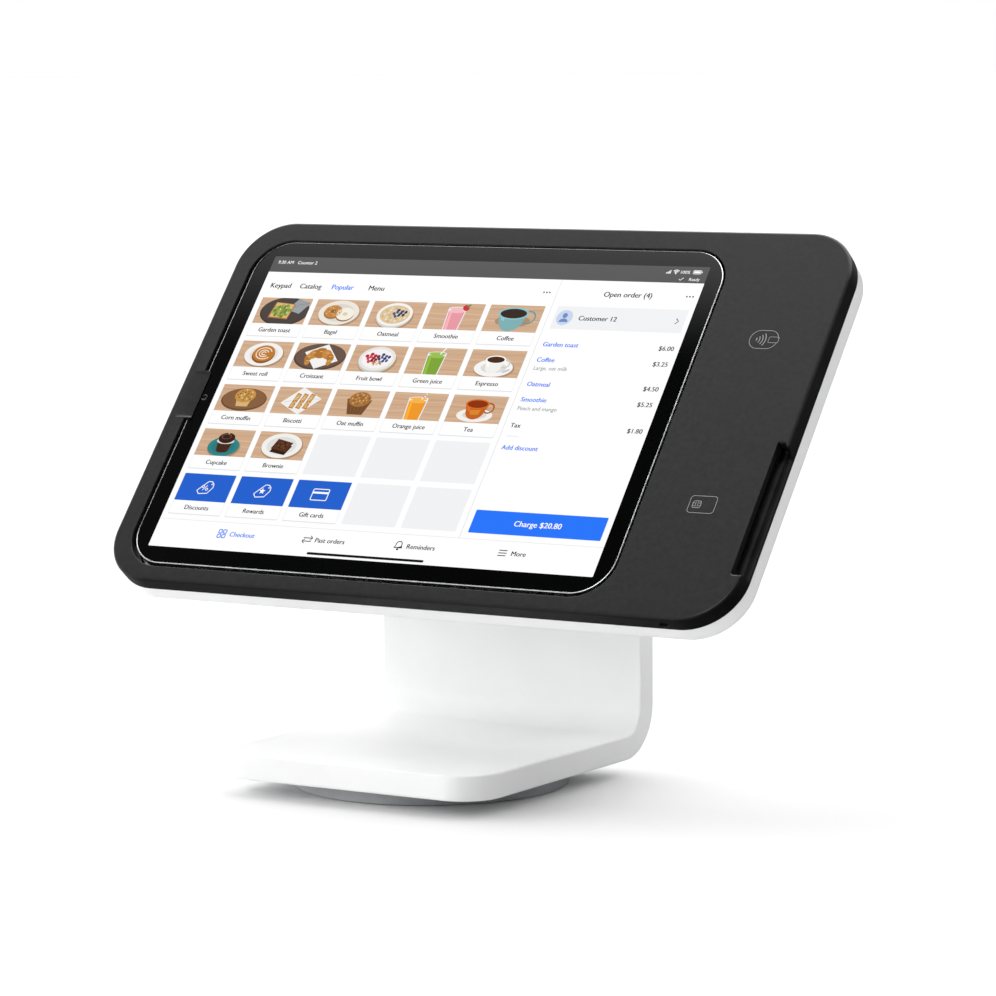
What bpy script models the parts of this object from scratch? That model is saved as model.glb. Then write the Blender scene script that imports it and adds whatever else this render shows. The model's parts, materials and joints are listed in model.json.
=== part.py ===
"""Counter-top card payment terminal: a tablet and a card reader in a tilting head, on a bent stand that
swivels on a round foot. Dimensions below are in millimetres, and the scene is in metres.

World frame: origin under the foot's centre, +X to the cashier's right, +Y to the back, +Z up.
Head frame: u to the right, v up the screen, w out of the screen, from the middle of the display."""

import math

import bmesh
import bpy
from mathutils import Matrix, Vector

MM = 0.001
# Clearance between neighbours that don't touch, and how far a cutter runs past a face
GAP = 0.3
PAST = 5.0
SMOOTH_BELOW_DEG = 35

# Screws: clearance hole, sunk head and the places of each set
SCREW_HOLE = 1.7
SCREW_SINK = 3.1
BASE_SCREWS = [(x, y) for x in (-54, 54) for y in (-54, 38)]
NECK_SCREWS = (36.2, 136.8)
HEAD_SCREWS = [(u, v) for u in (-112, 162) for v in (-80, 80)]

# Round foot and swivel
FOOT_RADIUS = 59.3
FOOT_BOTTOM = 0.9
FOOT_TOP = 6.7
PAD_RADIUS, PAD_THICKNESS = 57.0, 0.6
POST_RADIUS = 6.0
POST_TOP = 12.2
RUNNING_FIT = 0.08
WASHER_POCKET_INNER, WASHER_POCKET_OUTER, WASHER_POCKET_FLOOR = 19.7, 30.3, 5.3

# Bent stand: a base plate, an inner bend and an upright neck
ARM_WIDTH = 135.4
ARM_THICKNESS = 10.8
BASE_FRONT = -70.5
BASE_BOTTOM = 7.1
BASE_TOP = BASE_BOTTOM + ARM_THICKNESS
NECK_FRONT = 64.4
NECK_BACK = NECK_FRONT + ARM_THICKNESS
NECK_TOP = 144.9
BEND_INNER = 12.0
BEND_OUTER = BEND_INNER + ARM_THICKNESS
BASE_CORNER = 18.0
NECK_CORNER = 12.0
SHELL = 2.5
BASE_COVER_TOP = 9.1
BASE_SINK_TOP = 8.4
BOSS_RADIUS = 4.0

# Fittings in the neck, seen from the back
CHANNEL_HALF, CHANNEL_LOW, CHANNEL_HIGH, CHANNEL_DEPTH = 15.0, 32.0, 140.0, 4.0
NECK_COVER_THICKNESS = 1.8
SOCKET_Z, SOCKET_HALF_WIDTH, SOCKET_HALF_HEIGHT = 44.0, 4.5, 1.65
SOCKET_DEPTH, SOCKET_WALL, TONGUE_HALF_WIDTH, TONGUE_HALF_HEIGHT = 7.0, 0.4, 3.4, 0.4
CABLE_RADIUS, CABLE_LOW, CABLE_HIGH, CABLE_WAVE = 0.8, 68.4, 126.6, 2.5

# Tilt hinge, whose axis runs along X
HINGE_Y = (NECK_FRONT + NECK_BACK) / 2
BARREL_RADIUS = 7.5
BARREL_HALF = 43.9
SHAFT_RADIUS, SHAFT_HALF = 3.0, 52.2
EAR_RADIUS, EAR_NEAR, EAR_FAR = 6.9, 45.0, 48.0
POD_RADIUS, POD_NEAR, POD_FAR, POD_WALL = 9.0, 44.2, 55.0, 1.6

# Head frame
TILT_DEG = 50.66
DISPLAY_CENTRE = (-25.0, 36.1, 158.4)
HEAD_U, HEAD_V = 24.9, 0.3
FRAME_WIDTH, FRAME_HEIGHT = 319.0, 197.8
FRAME_CORNER = 25.0
FACE_W, FRAME_BACK_W, COVER_BACK_W = 1.5, -6.5, -17.5
FACE_FILLET, BACK_FILLET = 1.5, 4.5
WALL = 2.2

# Tablet
TABLET_WIDTH, TABLET_HEIGHT, TABLET_CORNER = 247.6, 178.5, 18.0
TABLET_FRONT_W, TABLET_BACK_W = -0.1, -5.7
TABLET_GAP = 0.8
NOTCH_V, NOTCH_HALF = 0.8, 13.2
VOLUME_BUTTONS, POWER_BUTTON_V, BUTTON_HALF = (-95.0, -81.0), 70.0, 5.0
BUTTON_LOW_W, BUTTON_HIGH_W = -3.6, -2.2

# Card scoop in the head's right edge, and the slot behind it
SCOOP_U, SCOOP_LOW_V, SCOOP_HIGH_V = 178.9, -74.5, -9.6
LIP_U, LIP_W, LIP_SLOPE, GROOVE_RADIUS = 182.7, -5.0, 5.3, 2.4
SLOT_V, SLOT_HALF, SLOT_LOW_W, SLOT_HIGH_W = -42.4, 28.0, -3.1, -1.3
READER_LEFT, READER_RIGHT = 131.0, 175.8

# Latch behind the release hole
LATCH_U, LATCH_W = 154.0, -3.2
RELEASE_HALF_WIDTH, RELEASE_HALF_HEIGHT = 1.9, 1.0
SPRING_TURNS, SPRING_RADIUS, SPRING_WIRE = 5, 1.6, 0.25
SPRING_LOW_V, SPRING_HIGH_V, SPRING_W = -84.0, -77.9, -4.0

TILT = math.radians(TILT_DEG)
UP_SCREEN = Vector((0.0, math.cos(TILT), math.sin(TILT)))
OUT_OF_SCREEN = Vector((0.0, -math.sin(TILT), math.cos(TILT)))
HINGE_W = -27.0
HINGE_V = (HINGE_Y - DISPLAY_CENTRE[1] - HINGE_W * OUT_OF_SCREEN.y) / UP_SCREEN.y
HINGE_Z = DISPLAY_CENTRE[2] + HINGE_V * UP_SCREEN.z + HINGE_W * OUT_OF_SCREEN.z
HINGE_U = -DISPLAY_CENTRE[0]


def clear_scene():
    for obj in list(bpy.data.objects):
        bpy.data.objects.remove(obj, do_unlink=True)


def new_collection(name):
    collection = bpy.data.collections.new(name)
    bpy.context.scene.collection.children.link(collection)
    return collection


def make_material(name, colour, roughness, metallic=0.0):
    material = bpy.data.materials.new(name)
    material.use_nodes = True
    shader = material.node_tree.nodes["Principled BSDF"]
    shader.inputs["Base Color"].default_value = (*colour, 1.0)
    shader.inputs["Roughness"].default_value = roughness
    shader.inputs["Metallic"].default_value = metallic
    material.diffuse_color = (*colour, 1.0)
    return material


def new_empty(name, parent=None, location=(0, 0, 0), tilt=0.0):
    empty = bpy.data.objects.new(name, None)
    PARTS.objects.link(empty)
    empty.empty_display_size = 0.02
    empty.parent = parent
    empty.location = Vector(location) * MM
    empty.rotation_euler = (tilt, 0.0, 0.0)
    return empty


def new_object(name, mesh, location=(0, 0, 0)):
    obj = bpy.data.objects.new(name, mesh)
    PARTS.objects.link(obj)
    obj.location = Vector(location) * MM
    return obj


def finish(obj, parent, material):
    """Hangs a finished piece on its axis empty and gives it its material."""
    obj.parent = parent
    obj.data.materials.clear()
    obj.data.materials.append(material)
    obj.data.shade_smooth()
    obj.data.set_sharp_from_angle(angle=math.radians(SMOOTH_BELOW_DEG))
    return obj


def boolean(target, tool, operation):
    """Cuts, joins or crosses target with tool, which moves to the cutters."""
    tool.parent = target.parent
    PARTS.objects.unlink(tool)
    CUTTERS.objects.link(tool)
    tool.hide_render = True
    tool.display_type = "WIRE"
    modifier = target.modifiers.new(operation.lower(), "BOOLEAN")
    modifier.operation = operation
    modifier.object = tool
    modifier.solver = "EXACT"
    return target


def cut(target, *tools):
    for tool in tools:
        boolean(target, tool, "DIFFERENCE")
    return target


def join(target, *tools):
    for tool in tools:
        boolean(target, tool, "UNION")
    return target


def to_mesh(name, bm):
    mesh = bpy.data.meshes.new(name)
    bm.to_mesh(mesh)
    bm.free()
    return mesh


def bevel_edges(bm, edges, width, steps):
    bmesh.ops.bevel(
        bm,
        geom=edges,
        offset=width * MM,
        segments=steps,
        profile=0.5,
        affect="EDGES",
        clamp_overlap=True,
    )


def rim_edges(bm, height):
    return [e for e in bm.edges if all(abs(v.co.z - height) < 1e-6 for v in e.verts)]


def block(name, low, high, corner=0.0, corner_steps=6, front=0.0, back=0.0, fillet_steps=2):
    """A box between two corners: its edges along Z rounded first, then its +Z and its -Z rim."""
    low, high = Vector(low), Vector(high)
    size = (high - low) * MM
    bm = bmesh.new()
    bmesh.ops.create_cube(bm, size=1.0)
    bmesh.ops.scale(bm, vec=size, verts=bm.verts)
    if corner:
        uprights = [e for e in bm.edges if abs(e.verts[0].co.z - e.verts[1].co.z) > size.z / 2]
        bevel_edges(bm, uprights, corner, corner_steps)
    if front:
        bevel_edges(bm, rim_edges(bm, size.z / 2), front, fillet_steps)
    if back:
        bevel_edges(bm, rim_edges(bm, -size.z / 2), back, fillet_steps)
    return new_object(name, to_mesh(name, bm), (low + high) / 2)


def cylinder(name, radius, start, end, steps=24):
    """A cylinder between two points on a line along X, Y or Z."""
    start, end = Vector(start), Vector(end)
    along = end - start
    bm = bmesh.new()
    bmesh.ops.create_cone(
        bm,
        cap_ends=True,
        segments=steps,
        radius1=radius * MM,
        radius2=radius * MM,
        depth=along.length * MM,
    )
    turn = Vector((0, 0, 1)).rotation_difference(along).to_matrix()
    bmesh.ops.rotate(bm, cent=(0, 0, 0), matrix=turn, verts=bm.verts)
    return new_object(name, to_mesh(name, bm), (start + end) / 2)


def turned(name, profile, steps=32, ring=False, location=(0, 0, 0)):
    """Turns (radius, height) points about Z. They run from the top, down the outer side, to the bottom."""
    bm = bmesh.new()
    points = [bm.verts.new((radius * MM, 0.0, height * MM)) for radius, height in profile]
    for first, second in zip(points, points[1:]):
        bm.edges.new((first, second))
    if ring:
        bm.edges.new((points[-1], points[0]))
    obj = new_object(name, to_mesh(name, bm), location)
    screw = obj.modifiers.new("turn", "SCREW")
    screw.steps = steps
    screw.render_steps = steps
    screw.use_merge_vertices = True
    screw.merge_threshold = 1e-6
    screw.use_smooth_shade = True
    return obj


def washer(name, inner, outer, low, high, steps=32, location=(0, 0, 0)):
    profile = [(inner, high), (outer, high), (outer, low), (inner, low)]
    return turned(name, profile, steps, ring=True, location=location)


def arc(centre, radius, start_deg, end_deg, steps):
    angles = [math.radians(start_deg + (end_deg - start_deg) * i / steps) for i in range(steps + 1)]
    return [(centre[0] + radius * math.cos(a), centre[1] + radius * math.sin(a)) for a in angles]


def mesh_of_curve(name, curve):
    """The closed mesh of a curve, as a bmesh."""
    route = bpy.data.objects.new(name, curve)
    PARTS.objects.link(route)
    bpy.context.view_layer.update()
    graph = bpy.context.evaluated_depsgraph_get()
    mesh = bpy.data.meshes.new_from_object(route.evaluated_get(graph))
    bpy.data.objects.remove(route, do_unlink=True)
    bm = bmesh.new()
    bm.from_mesh(mesh)
    bmesh.ops.remove_doubles(bm, verts=bm.verts, dist=1e-6)
    bpy.data.meshes.remove(mesh)
    return bm


def wire(name, points, radius, resolution):
    """A round wire of that radius through the points, with flat ends."""
    curve = bpy.data.curves.new(name, "CURVE")
    curve.dimensions = "3D"
    curve.bevel_depth = radius * MM
    curve.bevel_resolution = resolution
    curve.use_fill_caps = True
    spline = curve.splines.new("POLY")
    spline.points.add(len(points) - 1)
    for target, point in zip(spline.points, points):
        target.co = (*(Vector(point) * MM), 1.0)
    return new_object(name, to_mesh(name, mesh_of_curve(name + "_route", curve)))


def extruded(name, outline, low, high, axes):
    """A flat outline given a thickness. axes says where its x, its y and its depth point, as in YZX."""
    curve = bpy.data.curves.new(name, "CURVE")
    curve.dimensions = "2D"
    curve.fill_mode = "BOTH"
    curve.extrude = (high - low) / 2 * MM
    spline = curve.splines.new("POLY")
    spline.points.add(len(outline) - 1)
    for point, (x, y) in zip(spline.points, outline):
        point.co = (x * MM, y * MM, 0.0, 1.0)
    spline.use_cyclic_u = True
    bm = mesh_of_curve(name + "_outline", curve)
    bmesh.ops.translate(bm, vec=(0, 0, (low + high) / 2 * MM), verts=bm.verts)
    columns = {"X": (1, 0, 0), "Y": (0, 1, 0), "Z": (0, 0, 1)}
    turn = Matrix([columns[letter] for letter in axes]).transposed()
    bmesh.ops.transform(bm, matrix=turn.to_4x4(), verts=bm.verts)
    bmesh.ops.recalc_face_normals(bm, faces=bm.faces)
    return new_object(name, to_mesh(name, bm))


def cap_screw(name, location, rotation, shank, head=2.7, stem=1.4, head_height=1.7):
    """A pan-head screw that points down its own -Z, with a round driver socket in its head."""
    socket = head_height * 0.4
    profile = [
        (0.0, socket),
        (1.0, socket),
        (1.1, head_height),
        (head - 0.5, head_height),
        (head, socket),
        (head, 0.0),
        (stem, 0.0),
        (stem, -shank + 0.6),
        (stem - 0.5, -shank),
        (0.0, -shank),
    ]
    obj = turned(name, profile, 16, location=location)
    obj.rotation_euler = rotation
    return obj


# Foot


def build_foot(parent):
    profile = [
        (WASHER_POCKET_OUTER, FOOT_TOP),
        (FOOT_RADIUS - 0.8, FOOT_TOP),
        (FOOT_RADIUS, FOOT_TOP - 0.8),
        (FOOT_RADIUS, FOOT_BOTTOM + 0.6),
        (FOOT_RADIUS - 0.6, FOOT_BOTTOM),
        (10.3, FOOT_BOTTOM),
        (10.3, 3.7),
        (POST_RADIUS + GAP, 3.7),
        (POST_RADIUS + GAP, FOOT_TOP),
        (WASHER_POCKET_INNER, FOOT_TOP),
        (WASHER_POCKET_INNER, WASHER_POCKET_FLOOR),
        (WASHER_POCKET_OUTER, WASHER_POCKET_FLOOR),
    ]
    finish(turned("foot_disc", profile, 64, ring=True), parent, FOOT_GREY)
    pad = [(0.0, PAD_THICKNESS), (PAD_RADIUS, PAD_THICKNESS), (PAD_RADIUS, 0.0), (0.0, 0.0)]
    finish(turned("foot_pad", pad, 64), parent, RUBBER)
    inner, outer = WASHER_POCKET_INNER + GAP, WASHER_POCKET_OUTER - GAP
    low, high = WASHER_POCKET_FLOOR + GAP, BASE_BOTTOM - GAP
    finish(washer("thrust_washer", inner, outer, low, high, 40), parent, ACETAL)


def build_swivel_post(parent):
    profile = [
        (0.0, 8.0),
        (2.0, 8.0),
        (2.0, POST_TOP),
        (POST_RADIUS, POST_TOP),
        (POST_RADIUS, 3.4),
        (10.0, 3.4),
        (10.0, 1.4),
        (0.0, 1.4),
    ]
    finish(turned("swivel_post", profile, 40), parent, STEEL)
    washer_top = POST_TOP + 1.1
    finish(washer("retaining_washer", 2.0, 9.0, POST_TOP + GAP, washer_top, 40), parent, STEEL)
    screw = cap_screw("post_screw", (0, 0, washer_top + 0.05), (0, 0, 0), 4.2, head=4.0, stem=1.6)
    finish(screw, parent, STEEL)


# Stand


def stand_outline():
    """The bent plate from the side, as (y, z)."""
    bend = (NECK_FRONT - BEND_INNER, BASE_TOP + BEND_INNER)
    inner = arc(bend, BEND_INNER, -90, 0, 10)
    outer = arc(bend, BEND_OUTER, 0, -90, 14)
    top = [(NECK_FRONT, NECK_TOP), (NECK_BACK, NECK_TOP)]
    return [(BASE_FRONT, BASE_TOP), *inner, *top, *outer, (BASE_FRONT, BASE_BOTTOM)]


def build_stand_shape(parent):
    """The bent plate with its rounded corners, and the barrel of the tilt hinge on top."""
    half = ARM_WIDTH / 2
    arm = extruded("stand_arm", stand_outline(), -half, half, "YZX")
    arm.parent = parent
    plan = block("arm_plan", (-half, BASE_FRONT, 0), (half, 150, 200), BASE_CORNER, 8)
    boolean(arm, plan, "INTERSECT")
    front_view = block("arm_front_view", (-half, -NECK_TOP, -100), (half, 50, 200), NECK_CORNER, 6)
    front_view.rotation_euler = (math.radians(-90), 0, 0)
    front_view.location = Vector((0, 50, (NECK_TOP - 50) / 2)) * MM
    boolean(arm, front_view, "INTERSECT")
    web_low = (-BARREL_HALF, NECK_FRONT, NECK_TOP - 8)
    web = block("arm_web", web_low, (BARREL_HALF, NECK_BACK, HINGE_Z))
    left, right = (-BARREL_HALF, HINGE_Y, HINGE_Z), (BARREL_HALF, HINGE_Y, HINGE_Z)
    return join(arm, web, cylinder("arm_barrel", BARREL_RADIUS, left, right, 32))


def build_stand_arm(parent):
    arm = build_stand_shape(parent)
    reach = BARREL_HALF + PAST
    left, right = (-reach, HINGE_Y, HINGE_Z), (reach, HINGE_Y, HINGE_Z)
    bore = cylinder("arm_bore", SHAFT_RADIUS + 0.1, left, right, 32)
    pocket = block("arm_pocket", (-60, -62, 0), (60, 46, BASE_TOP - SHELL), 12, 4)
    cut(arm, bore, pocket)
    for index, (x, y) in enumerate(BASE_SCREWS):
        low, high = BASE_COVER_TOP + GAP, BASE_TOP - 1
        join(arm, cylinder(f"arm_boss_{index}", BOSS_RADIUS, (x, y, low), (x, y, high), 16))
    for index, (x, y) in enumerate(BASE_SCREWS):
        cut(arm, cylinder(f"arm_boss_hole_{index}", SCREW_HOLE, (x, y, 5), (x, y, 13.5), 12))
    channel = block(
        "arm_channel",
        (-CHANNEL_HALF, NECK_BACK - CHANNEL_DEPTH, CHANNEL_LOW),
        (CHANNEL_HALF, NECK_BACK + PAST, CHANNEL_HIGH),
    )
    inlet = block("arm_inlet", (-8, NECK_BACK - 8, SOCKET_Z - 6), (8, NECK_BACK, SOCKET_Z + 6))
    cut(arm, channel, inlet)
    for index, z in enumerate(NECK_SCREWS):
        front, back = (0, NECK_BACK - 8, z), (0, NECK_BACK, z)
        cut(arm, cylinder(f"arm_neck_hole_{index}", SCREW_HOLE, front, back, 12))
    return finish(arm, parent, WHITE)


def build_bottom_cover(parent):
    low, high = (-59.7, -61.7, BASE_BOTTOM), (59.7, 45.7, BASE_COVER_TOP)
    cover = block("bottom_cover", low, high, 11.7, 5)
    cover.parent = parent
    cut(cover, cylinder("bottom_hole", 12.0, (0, 0, 0), (0, 0, 20), 32))
    for index, (x, y) in enumerate(BASE_SCREWS):
        cut(cover, cylinder(f"bottom_screw_hole_{index}", SCREW_HOLE, (x, y, 0), (x, y, 20), 12))
        sink = cylinder(f"bottom_screw_sink_{index}", SCREW_SINK, (x, y, 0), (x, y, BASE_SINK_TOP), 16)
        cut(cover, sink)
    finish(cover, parent, PALE_GREY)
    for index, (x, y) in enumerate(BASE_SCREWS):
        place = (x, y, BASE_SINK_TOP - GAP)
        screw = cap_screw(f"base_screw_{index + 1}", place, (math.pi, 0, 0), 5.0, head_height=0.9)
        finish(screw, parent, STEEL)


def build_base_inside(parent):
    weight = block("counterweight", (-49, -48, 9.5), (49, 40, 14.5), 6, 3)
    weight.parent = parent
    cut(weight, cylinder("counterweight_hole", 14.0, (0, 0, 0), (0, 0, 20), 32))
    finish(weight, parent, STEEL)
    inner, outer, neck = POST_RADIUS + RUNNING_FIT, 13.0, 11.7
    shoulder = BASE_COVER_TOP + 0.4
    bush = [
        (inner, POST_TOP),
        (outer, POST_TOP),
        (outer, shoulder),
        (neck, shoulder),
        (neck, BASE_BOTTOM),
        (inner, BASE_BOTTOM),
    ]
    finish(turned("swivel_bush", bush, 40, ring=True), parent, ACETAL)


def build_neck_cover(parent):
    half = CHANNEL_HALF - GAP
    low = (-half, NECK_BACK - NECK_COVER_THICKNESS, CHANNEL_LOW + GAP)
    cover = block("neck_rear_cover", low, (half, NECK_BACK, CHANNEL_HIGH - GAP))
    cover.parent = parent
    hole_x, hole_z = SOCKET_HALF_WIDTH + GAP, SOCKET_HALF_HEIGHT + GAP
    socket_hole = block(
        "neck_socket_hole",
        (-hole_x, NECK_BACK - PAST, SOCKET_Z - hole_z),
        (hole_x, NECK_BACK + PAST, SOCKET_Z + hole_z),
    )
    cut(cover, socket_hole)
    for index, z in enumerate(NECK_SCREWS):
        front, back = (0, NECK_BACK - PAST, z), (0, NECK_BACK + PAST, z)
        cut(cover, cylinder(f"neck_screw_hole_{index}", SCREW_HOLE, front, back, 12))
    finish(cover, parent, WHITE)
    for index, z in enumerate(NECK_SCREWS):
        place, turn = (0, NECK_BACK + GAP, z), (math.radians(-90), 0, 0)
        screw = cap_screw(f"neck_screw_{index + 1}", place, turn, 6.5, head=2.4, head_height=1.2)
        finish(screw, parent, STEEL)


def build_power_socket(parent):
    """An open metal shell with a flat tongue on its inner wall."""
    back = NECK_BACK - 0.2
    front = back - SOCKET_DEPTH
    width, height = SOCKET_HALF_WIDTH, SOCKET_HALF_HEIGHT
    low, high = (-width, front, SOCKET_Z - height), (width, back, SOCKET_Z + height)
    socket = block("power_socket", low, high)
    socket.parent = parent
    width, height = width - SOCKET_WALL, height - SOCKET_WALL
    low = (-width, front + 0.8, SOCKET_Z - height)
    cut(socket, block("socket_cavity", low, (width, back + PAST, SOCKET_Z + height)))
    low = (-TONGUE_HALF_WIDTH, front + 0.4, SOCKET_Z - TONGUE_HALF_HEIGHT)
    high = (TONGUE_HALF_WIDTH, back - 1.0, SOCKET_Z + TONGUE_HALF_HEIGHT)
    finish(join(socket, block("socket_tongue", low, high)), parent, STEEL)


def build_neck_lead(parent):
    """The board behind the inlet, and the lead that waves gently up the channel to its connector."""
    board = block("inlet_board", (-10, NECK_BACK - 3.7, 50.5), (10, NECK_BACK - 2.5, 68))
    finish(board, parent, BOARD_GREEN)
    plug = block("neck_connector", (-6, NECK_BACK - 3.7, 127), (6, NECK_BACK - 2.2, 133.5))
    finish(plug, parent, BLACK_PLASTIC)
    points = []
    steps = 15
    for index in range(steps + 1):
        share = index / steps
        x = CABLE_WAVE * math.sin(2 * math.pi * share)
        points.append((x, NECK_BACK - 2.95, CABLE_LOW + (CABLE_HIGH - CABLE_LOW) * share))
    finish(wire("neck_cable", points, CABLE_RADIUS, 2), parent, BLACK_PLASTIC)


# Head shells


def head_block(name, width, height, corner, low_w, high_w, steps=8, **fillets):
    """A rounded block centred on the head's outline."""
    low = (HEAD_U - width / 2, HEAD_V - height / 2, low_w)
    high = (HEAD_U + width / 2, HEAD_V + height / 2, high_w)
    return block(name, low, high, corner, steps, **fillets)


def tablet_block(name, inset, low_w, high_w, steps=8, **fillets):
    """A rounded block centred on the display, inset from the tablet's outline."""
    width, height = TABLET_WIDTH / 2 - inset, TABLET_HEIGHT / 2 - inset
    low, high = (-width, -height, low_w), (width, height, high_w)
    return block(name, low, high, TABLET_CORNER - inset, steps, **fillets)


def scoop_lip_slope():
    """Where the scoop's outer wall eases down from the face at its upper end, as (v, w)."""
    low_v, steps = SCOOP_HIGH_V - LIP_SLOPE, 6
    slope = []
    for index in range(steps + 1):
        share = index / steps
        ease = (1 - math.cos(math.pi * share)) / 2
        slope.append((SCOOP_HIGH_V + (low_v - SCOOP_HIGH_V) * share, FACE_W + (LIP_W - FACE_W) * ease))
    return slope


def scoop_cutters():
    """The ledge beside the slot, rounded into its inner wall, and the lowered wall outside it."""
    above, radius = FACE_W + PAST, GROOVE_RADIUS
    inner = arc((SCOOP_U + radius, LIP_W + radius), radius, 180, 270, 6)
    outline = [(LIP_U, above), (SCOOP_U, above), *inner, (LIP_U, LIP_W)]
    groove = extruded("scoop_groove", outline, -SCOOP_HIGH_V, -SCOOP_LOW_V, "XZY")
    groove.scale = (1, -1, 1)
    outline = [(SCOOP_LOW_V, LIP_W), (SCOOP_LOW_V, above), (SCOOP_HIGH_V, above), *scoop_lip_slope()]
    return groove, extruded("scoop_lip", outline, LIP_U - GAP, LIP_U + PAST, "YZX")


def build_frame_shell(parent):
    """The frame's walls, with the window the tablet shows through."""
    frame = head_block(
        "front_frame",
        FRAME_WIDTH,
        FRAME_HEIGHT,
        FRAME_CORNER,
        FRAME_BACK_W,
        FACE_W,
        front=FACE_FILLET,
        fillet_steps=3,
    )
    frame.parent = parent
    window = tablet_block("frame_window", -TABLET_GAP, -30, 30)
    cavity = head_block(
        "frame_cavity",
        FRAME_WIDTH - 2 * WALL,
        FRAME_HEIGHT - 2 * WALL,
        FRAME_CORNER - WALL,
        -30,
        FACE_W - WALL,
    )
    cavity.parent = parent
    around_window = tablet_block("around_window", -TABLET_GAP - 1.6, -40, 30)
    low, high = (SCOOP_U - WALL, SCOOP_LOW_V - WALL, -40), (200, SCOOP_HIGH_V + WALL, 30)
    cut(cavity, around_window, block("around_scoop", low, high))
    return cut(frame, cavity, window)


def add_tablet_lip(frame):
    """The lip that slopes down over the tablet's left edge and holds it."""
    low, high = NOTCH_V - NOTCH_HALF, NOTCH_V + NOTCH_HALF
    join(frame, block("notch_lip", (-126.2, low, 0.5), (-121.8, high, FACE_W)))
    wedge = [(-130.2, FACE_W), (-123.0, 0.9), (-121.0, 0.8), (-121.0, 4), (-130.2, 4)]
    notch = extruded("notch_cut", wedge, -high, -low, "XZY")
    notch.scale = (1, -1, 1)
    cut(frame, notch)


def build_front_frame(parent):
    frame = build_frame_shell(parent)
    add_tablet_lip(frame)
    cut(frame, *scoop_cutters())
    low = (SCOOP_U - 2 * WALL, SLOT_V - SLOT_HALF, SLOT_LOW_W)
    cut(frame, block("frame_slot", low, (SCOOP_U + 1, SLOT_V + SLOT_HALF, SLOT_HIGH_W)))
    cut(frame, block("plug_window", (124, -7.6, -5.9), (127.5, 7.6, -0.7)))
    width, height = RELEASE_HALF_WIDTH, RELEASE_HALF_HEIGHT
    low, high = (LATCH_U - width, LATCH_W - height, -4), (LATCH_U + width, LATCH_W + height, 4)
    release = block("release_hole", low, high, 0.98, 4)
    release.rotation_euler = (math.radians(90), 0, 0)
    release.location = Vector((LATCH_U, HEAD_V - FRAME_HEIGHT / 2, LATCH_W)) * MM
    cut(frame, release)
    return finish(frame, parent, CHARCOAL)


def build_cover_shell(parent):
    width, height, corner = FRAME_WIDTH - 2 * GAP, FRAME_HEIGHT - 2 * GAP, FRAME_CORNER - GAP
    top_w = FRAME_BACK_W - GAP
    cover = head_block(
        "rear_cover", width, height, corner, COVER_BACK_W, top_w, back=BACK_FILLET, fillet_steps=4
    )
    cover.parent = parent
    floor_w = COVER_BACK_W + WALL
    width, height, corner = width - 2 * WALL, height - 2 * WALL, corner - WALL
    cavity = head_block(
        "cover_cavity", width, height, corner, floor_w, 10, back=BACK_FILLET - 1.9, fillet_steps=2
    )
    return cut(cover, cavity)


def build_rear_cover(parent):
    cover = build_cover_shell(parent)
    floor_w, boss_top = COVER_BACK_W + WALL, -10.6
    for index, (u, v) in enumerate(HEAD_SCREWS):
        join(cover, cylinder(f"cover_boss_{index}", 4.5, (u, v, floor_w - 1), (u, v, boss_top), 16))
    for index, (u, v) in enumerate(HEAD_SCREWS):
        below, sink = (u, v, COVER_BACK_W - PAST), (u, v, COVER_BACK_W + 2.0)
        cut(cover, cylinder(f"cover_hole_{index}", SCREW_HOLE, below, (u, v, 0), 12))
        cut(cover, cylinder(f"cover_sink_{index}", SCREW_SINK, below, sink, 16))
    for side in (-1, 1):
        centre = HINGE_U + side * (EAR_NEAR + EAR_FAR) / 2
        low, high = (centre - 2, HINGE_V - 7.6, -25), (centre + 2, HINGE_V + 7.6, -10)
        cut(cover, block(f"ear_slot_{side}", low, high))
    return finish(cover, parent, WHITE)


def build_chassis(parent):
    chassis = block("head_chassis", (-124, -88, -10.3), (174, 89, -8.6), 12, 4)
    chassis.parent = parent
    for index, (u, v) in enumerate(HEAD_SCREWS):
        low, high = (u, v, COVER_BACK_W), (u, v, 0)
        cut(chassis, cylinder(f"chassis_hole_{index}", SCREW_HOLE, low, high, 12))
    finish(chassis, parent, ALUMINIUM)
    cushion = block("tablet_cushion", (-100, -65, -8.3), (100, 65, TABLET_BACK_W - GAP), 6, 3)
    finish(cushion, parent, RUBBER)
    for index, (u, v) in enumerate(HEAD_SCREWS):
        place = (u, v, COVER_BACK_W + 1.7)
        finish(cap_screw(f"rear_screw_{index + 1}", place, (math.pi, 0, 0), 7.1), parent, STEEL)


# Tablet


def build_tablet_housing(parent):
    """The tablet's metal tray, with the openings for its port and its three buttons."""
    housing = tablet_block(
        "tablet_housing", 0.0, TABLET_BACK_W, TABLET_FRONT_W, back=1.2, fillet_steps=2
    )
    housing.parent = parent
    cut(housing, tablet_block("tablet_pocket", 0.8, TABLET_BACK_W + 0.7, 10))
    low_w, high_w = BUTTON_LOW_W - GAP, BUTTON_HIGH_W + GAP
    half = BUTTON_HALF + GAP
    port = block("tablet_port", (118, -4.7, -4.6), (126, 4.7, -1.3))
    low, high = (-126, POWER_BUTTON_V - half, low_w), (-120, POWER_BUTTON_V + half, high_w)
    cut(housing, port, block("power_hole", low, high))
    for index, u in enumerate(VOLUME_BUTTONS):
        cut(housing, block(f"volume_hole_{index}", (u - half, 86, low_w), (u + half, 92, high_w)))
    finish(housing, parent, ALUMINIUM)


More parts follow.
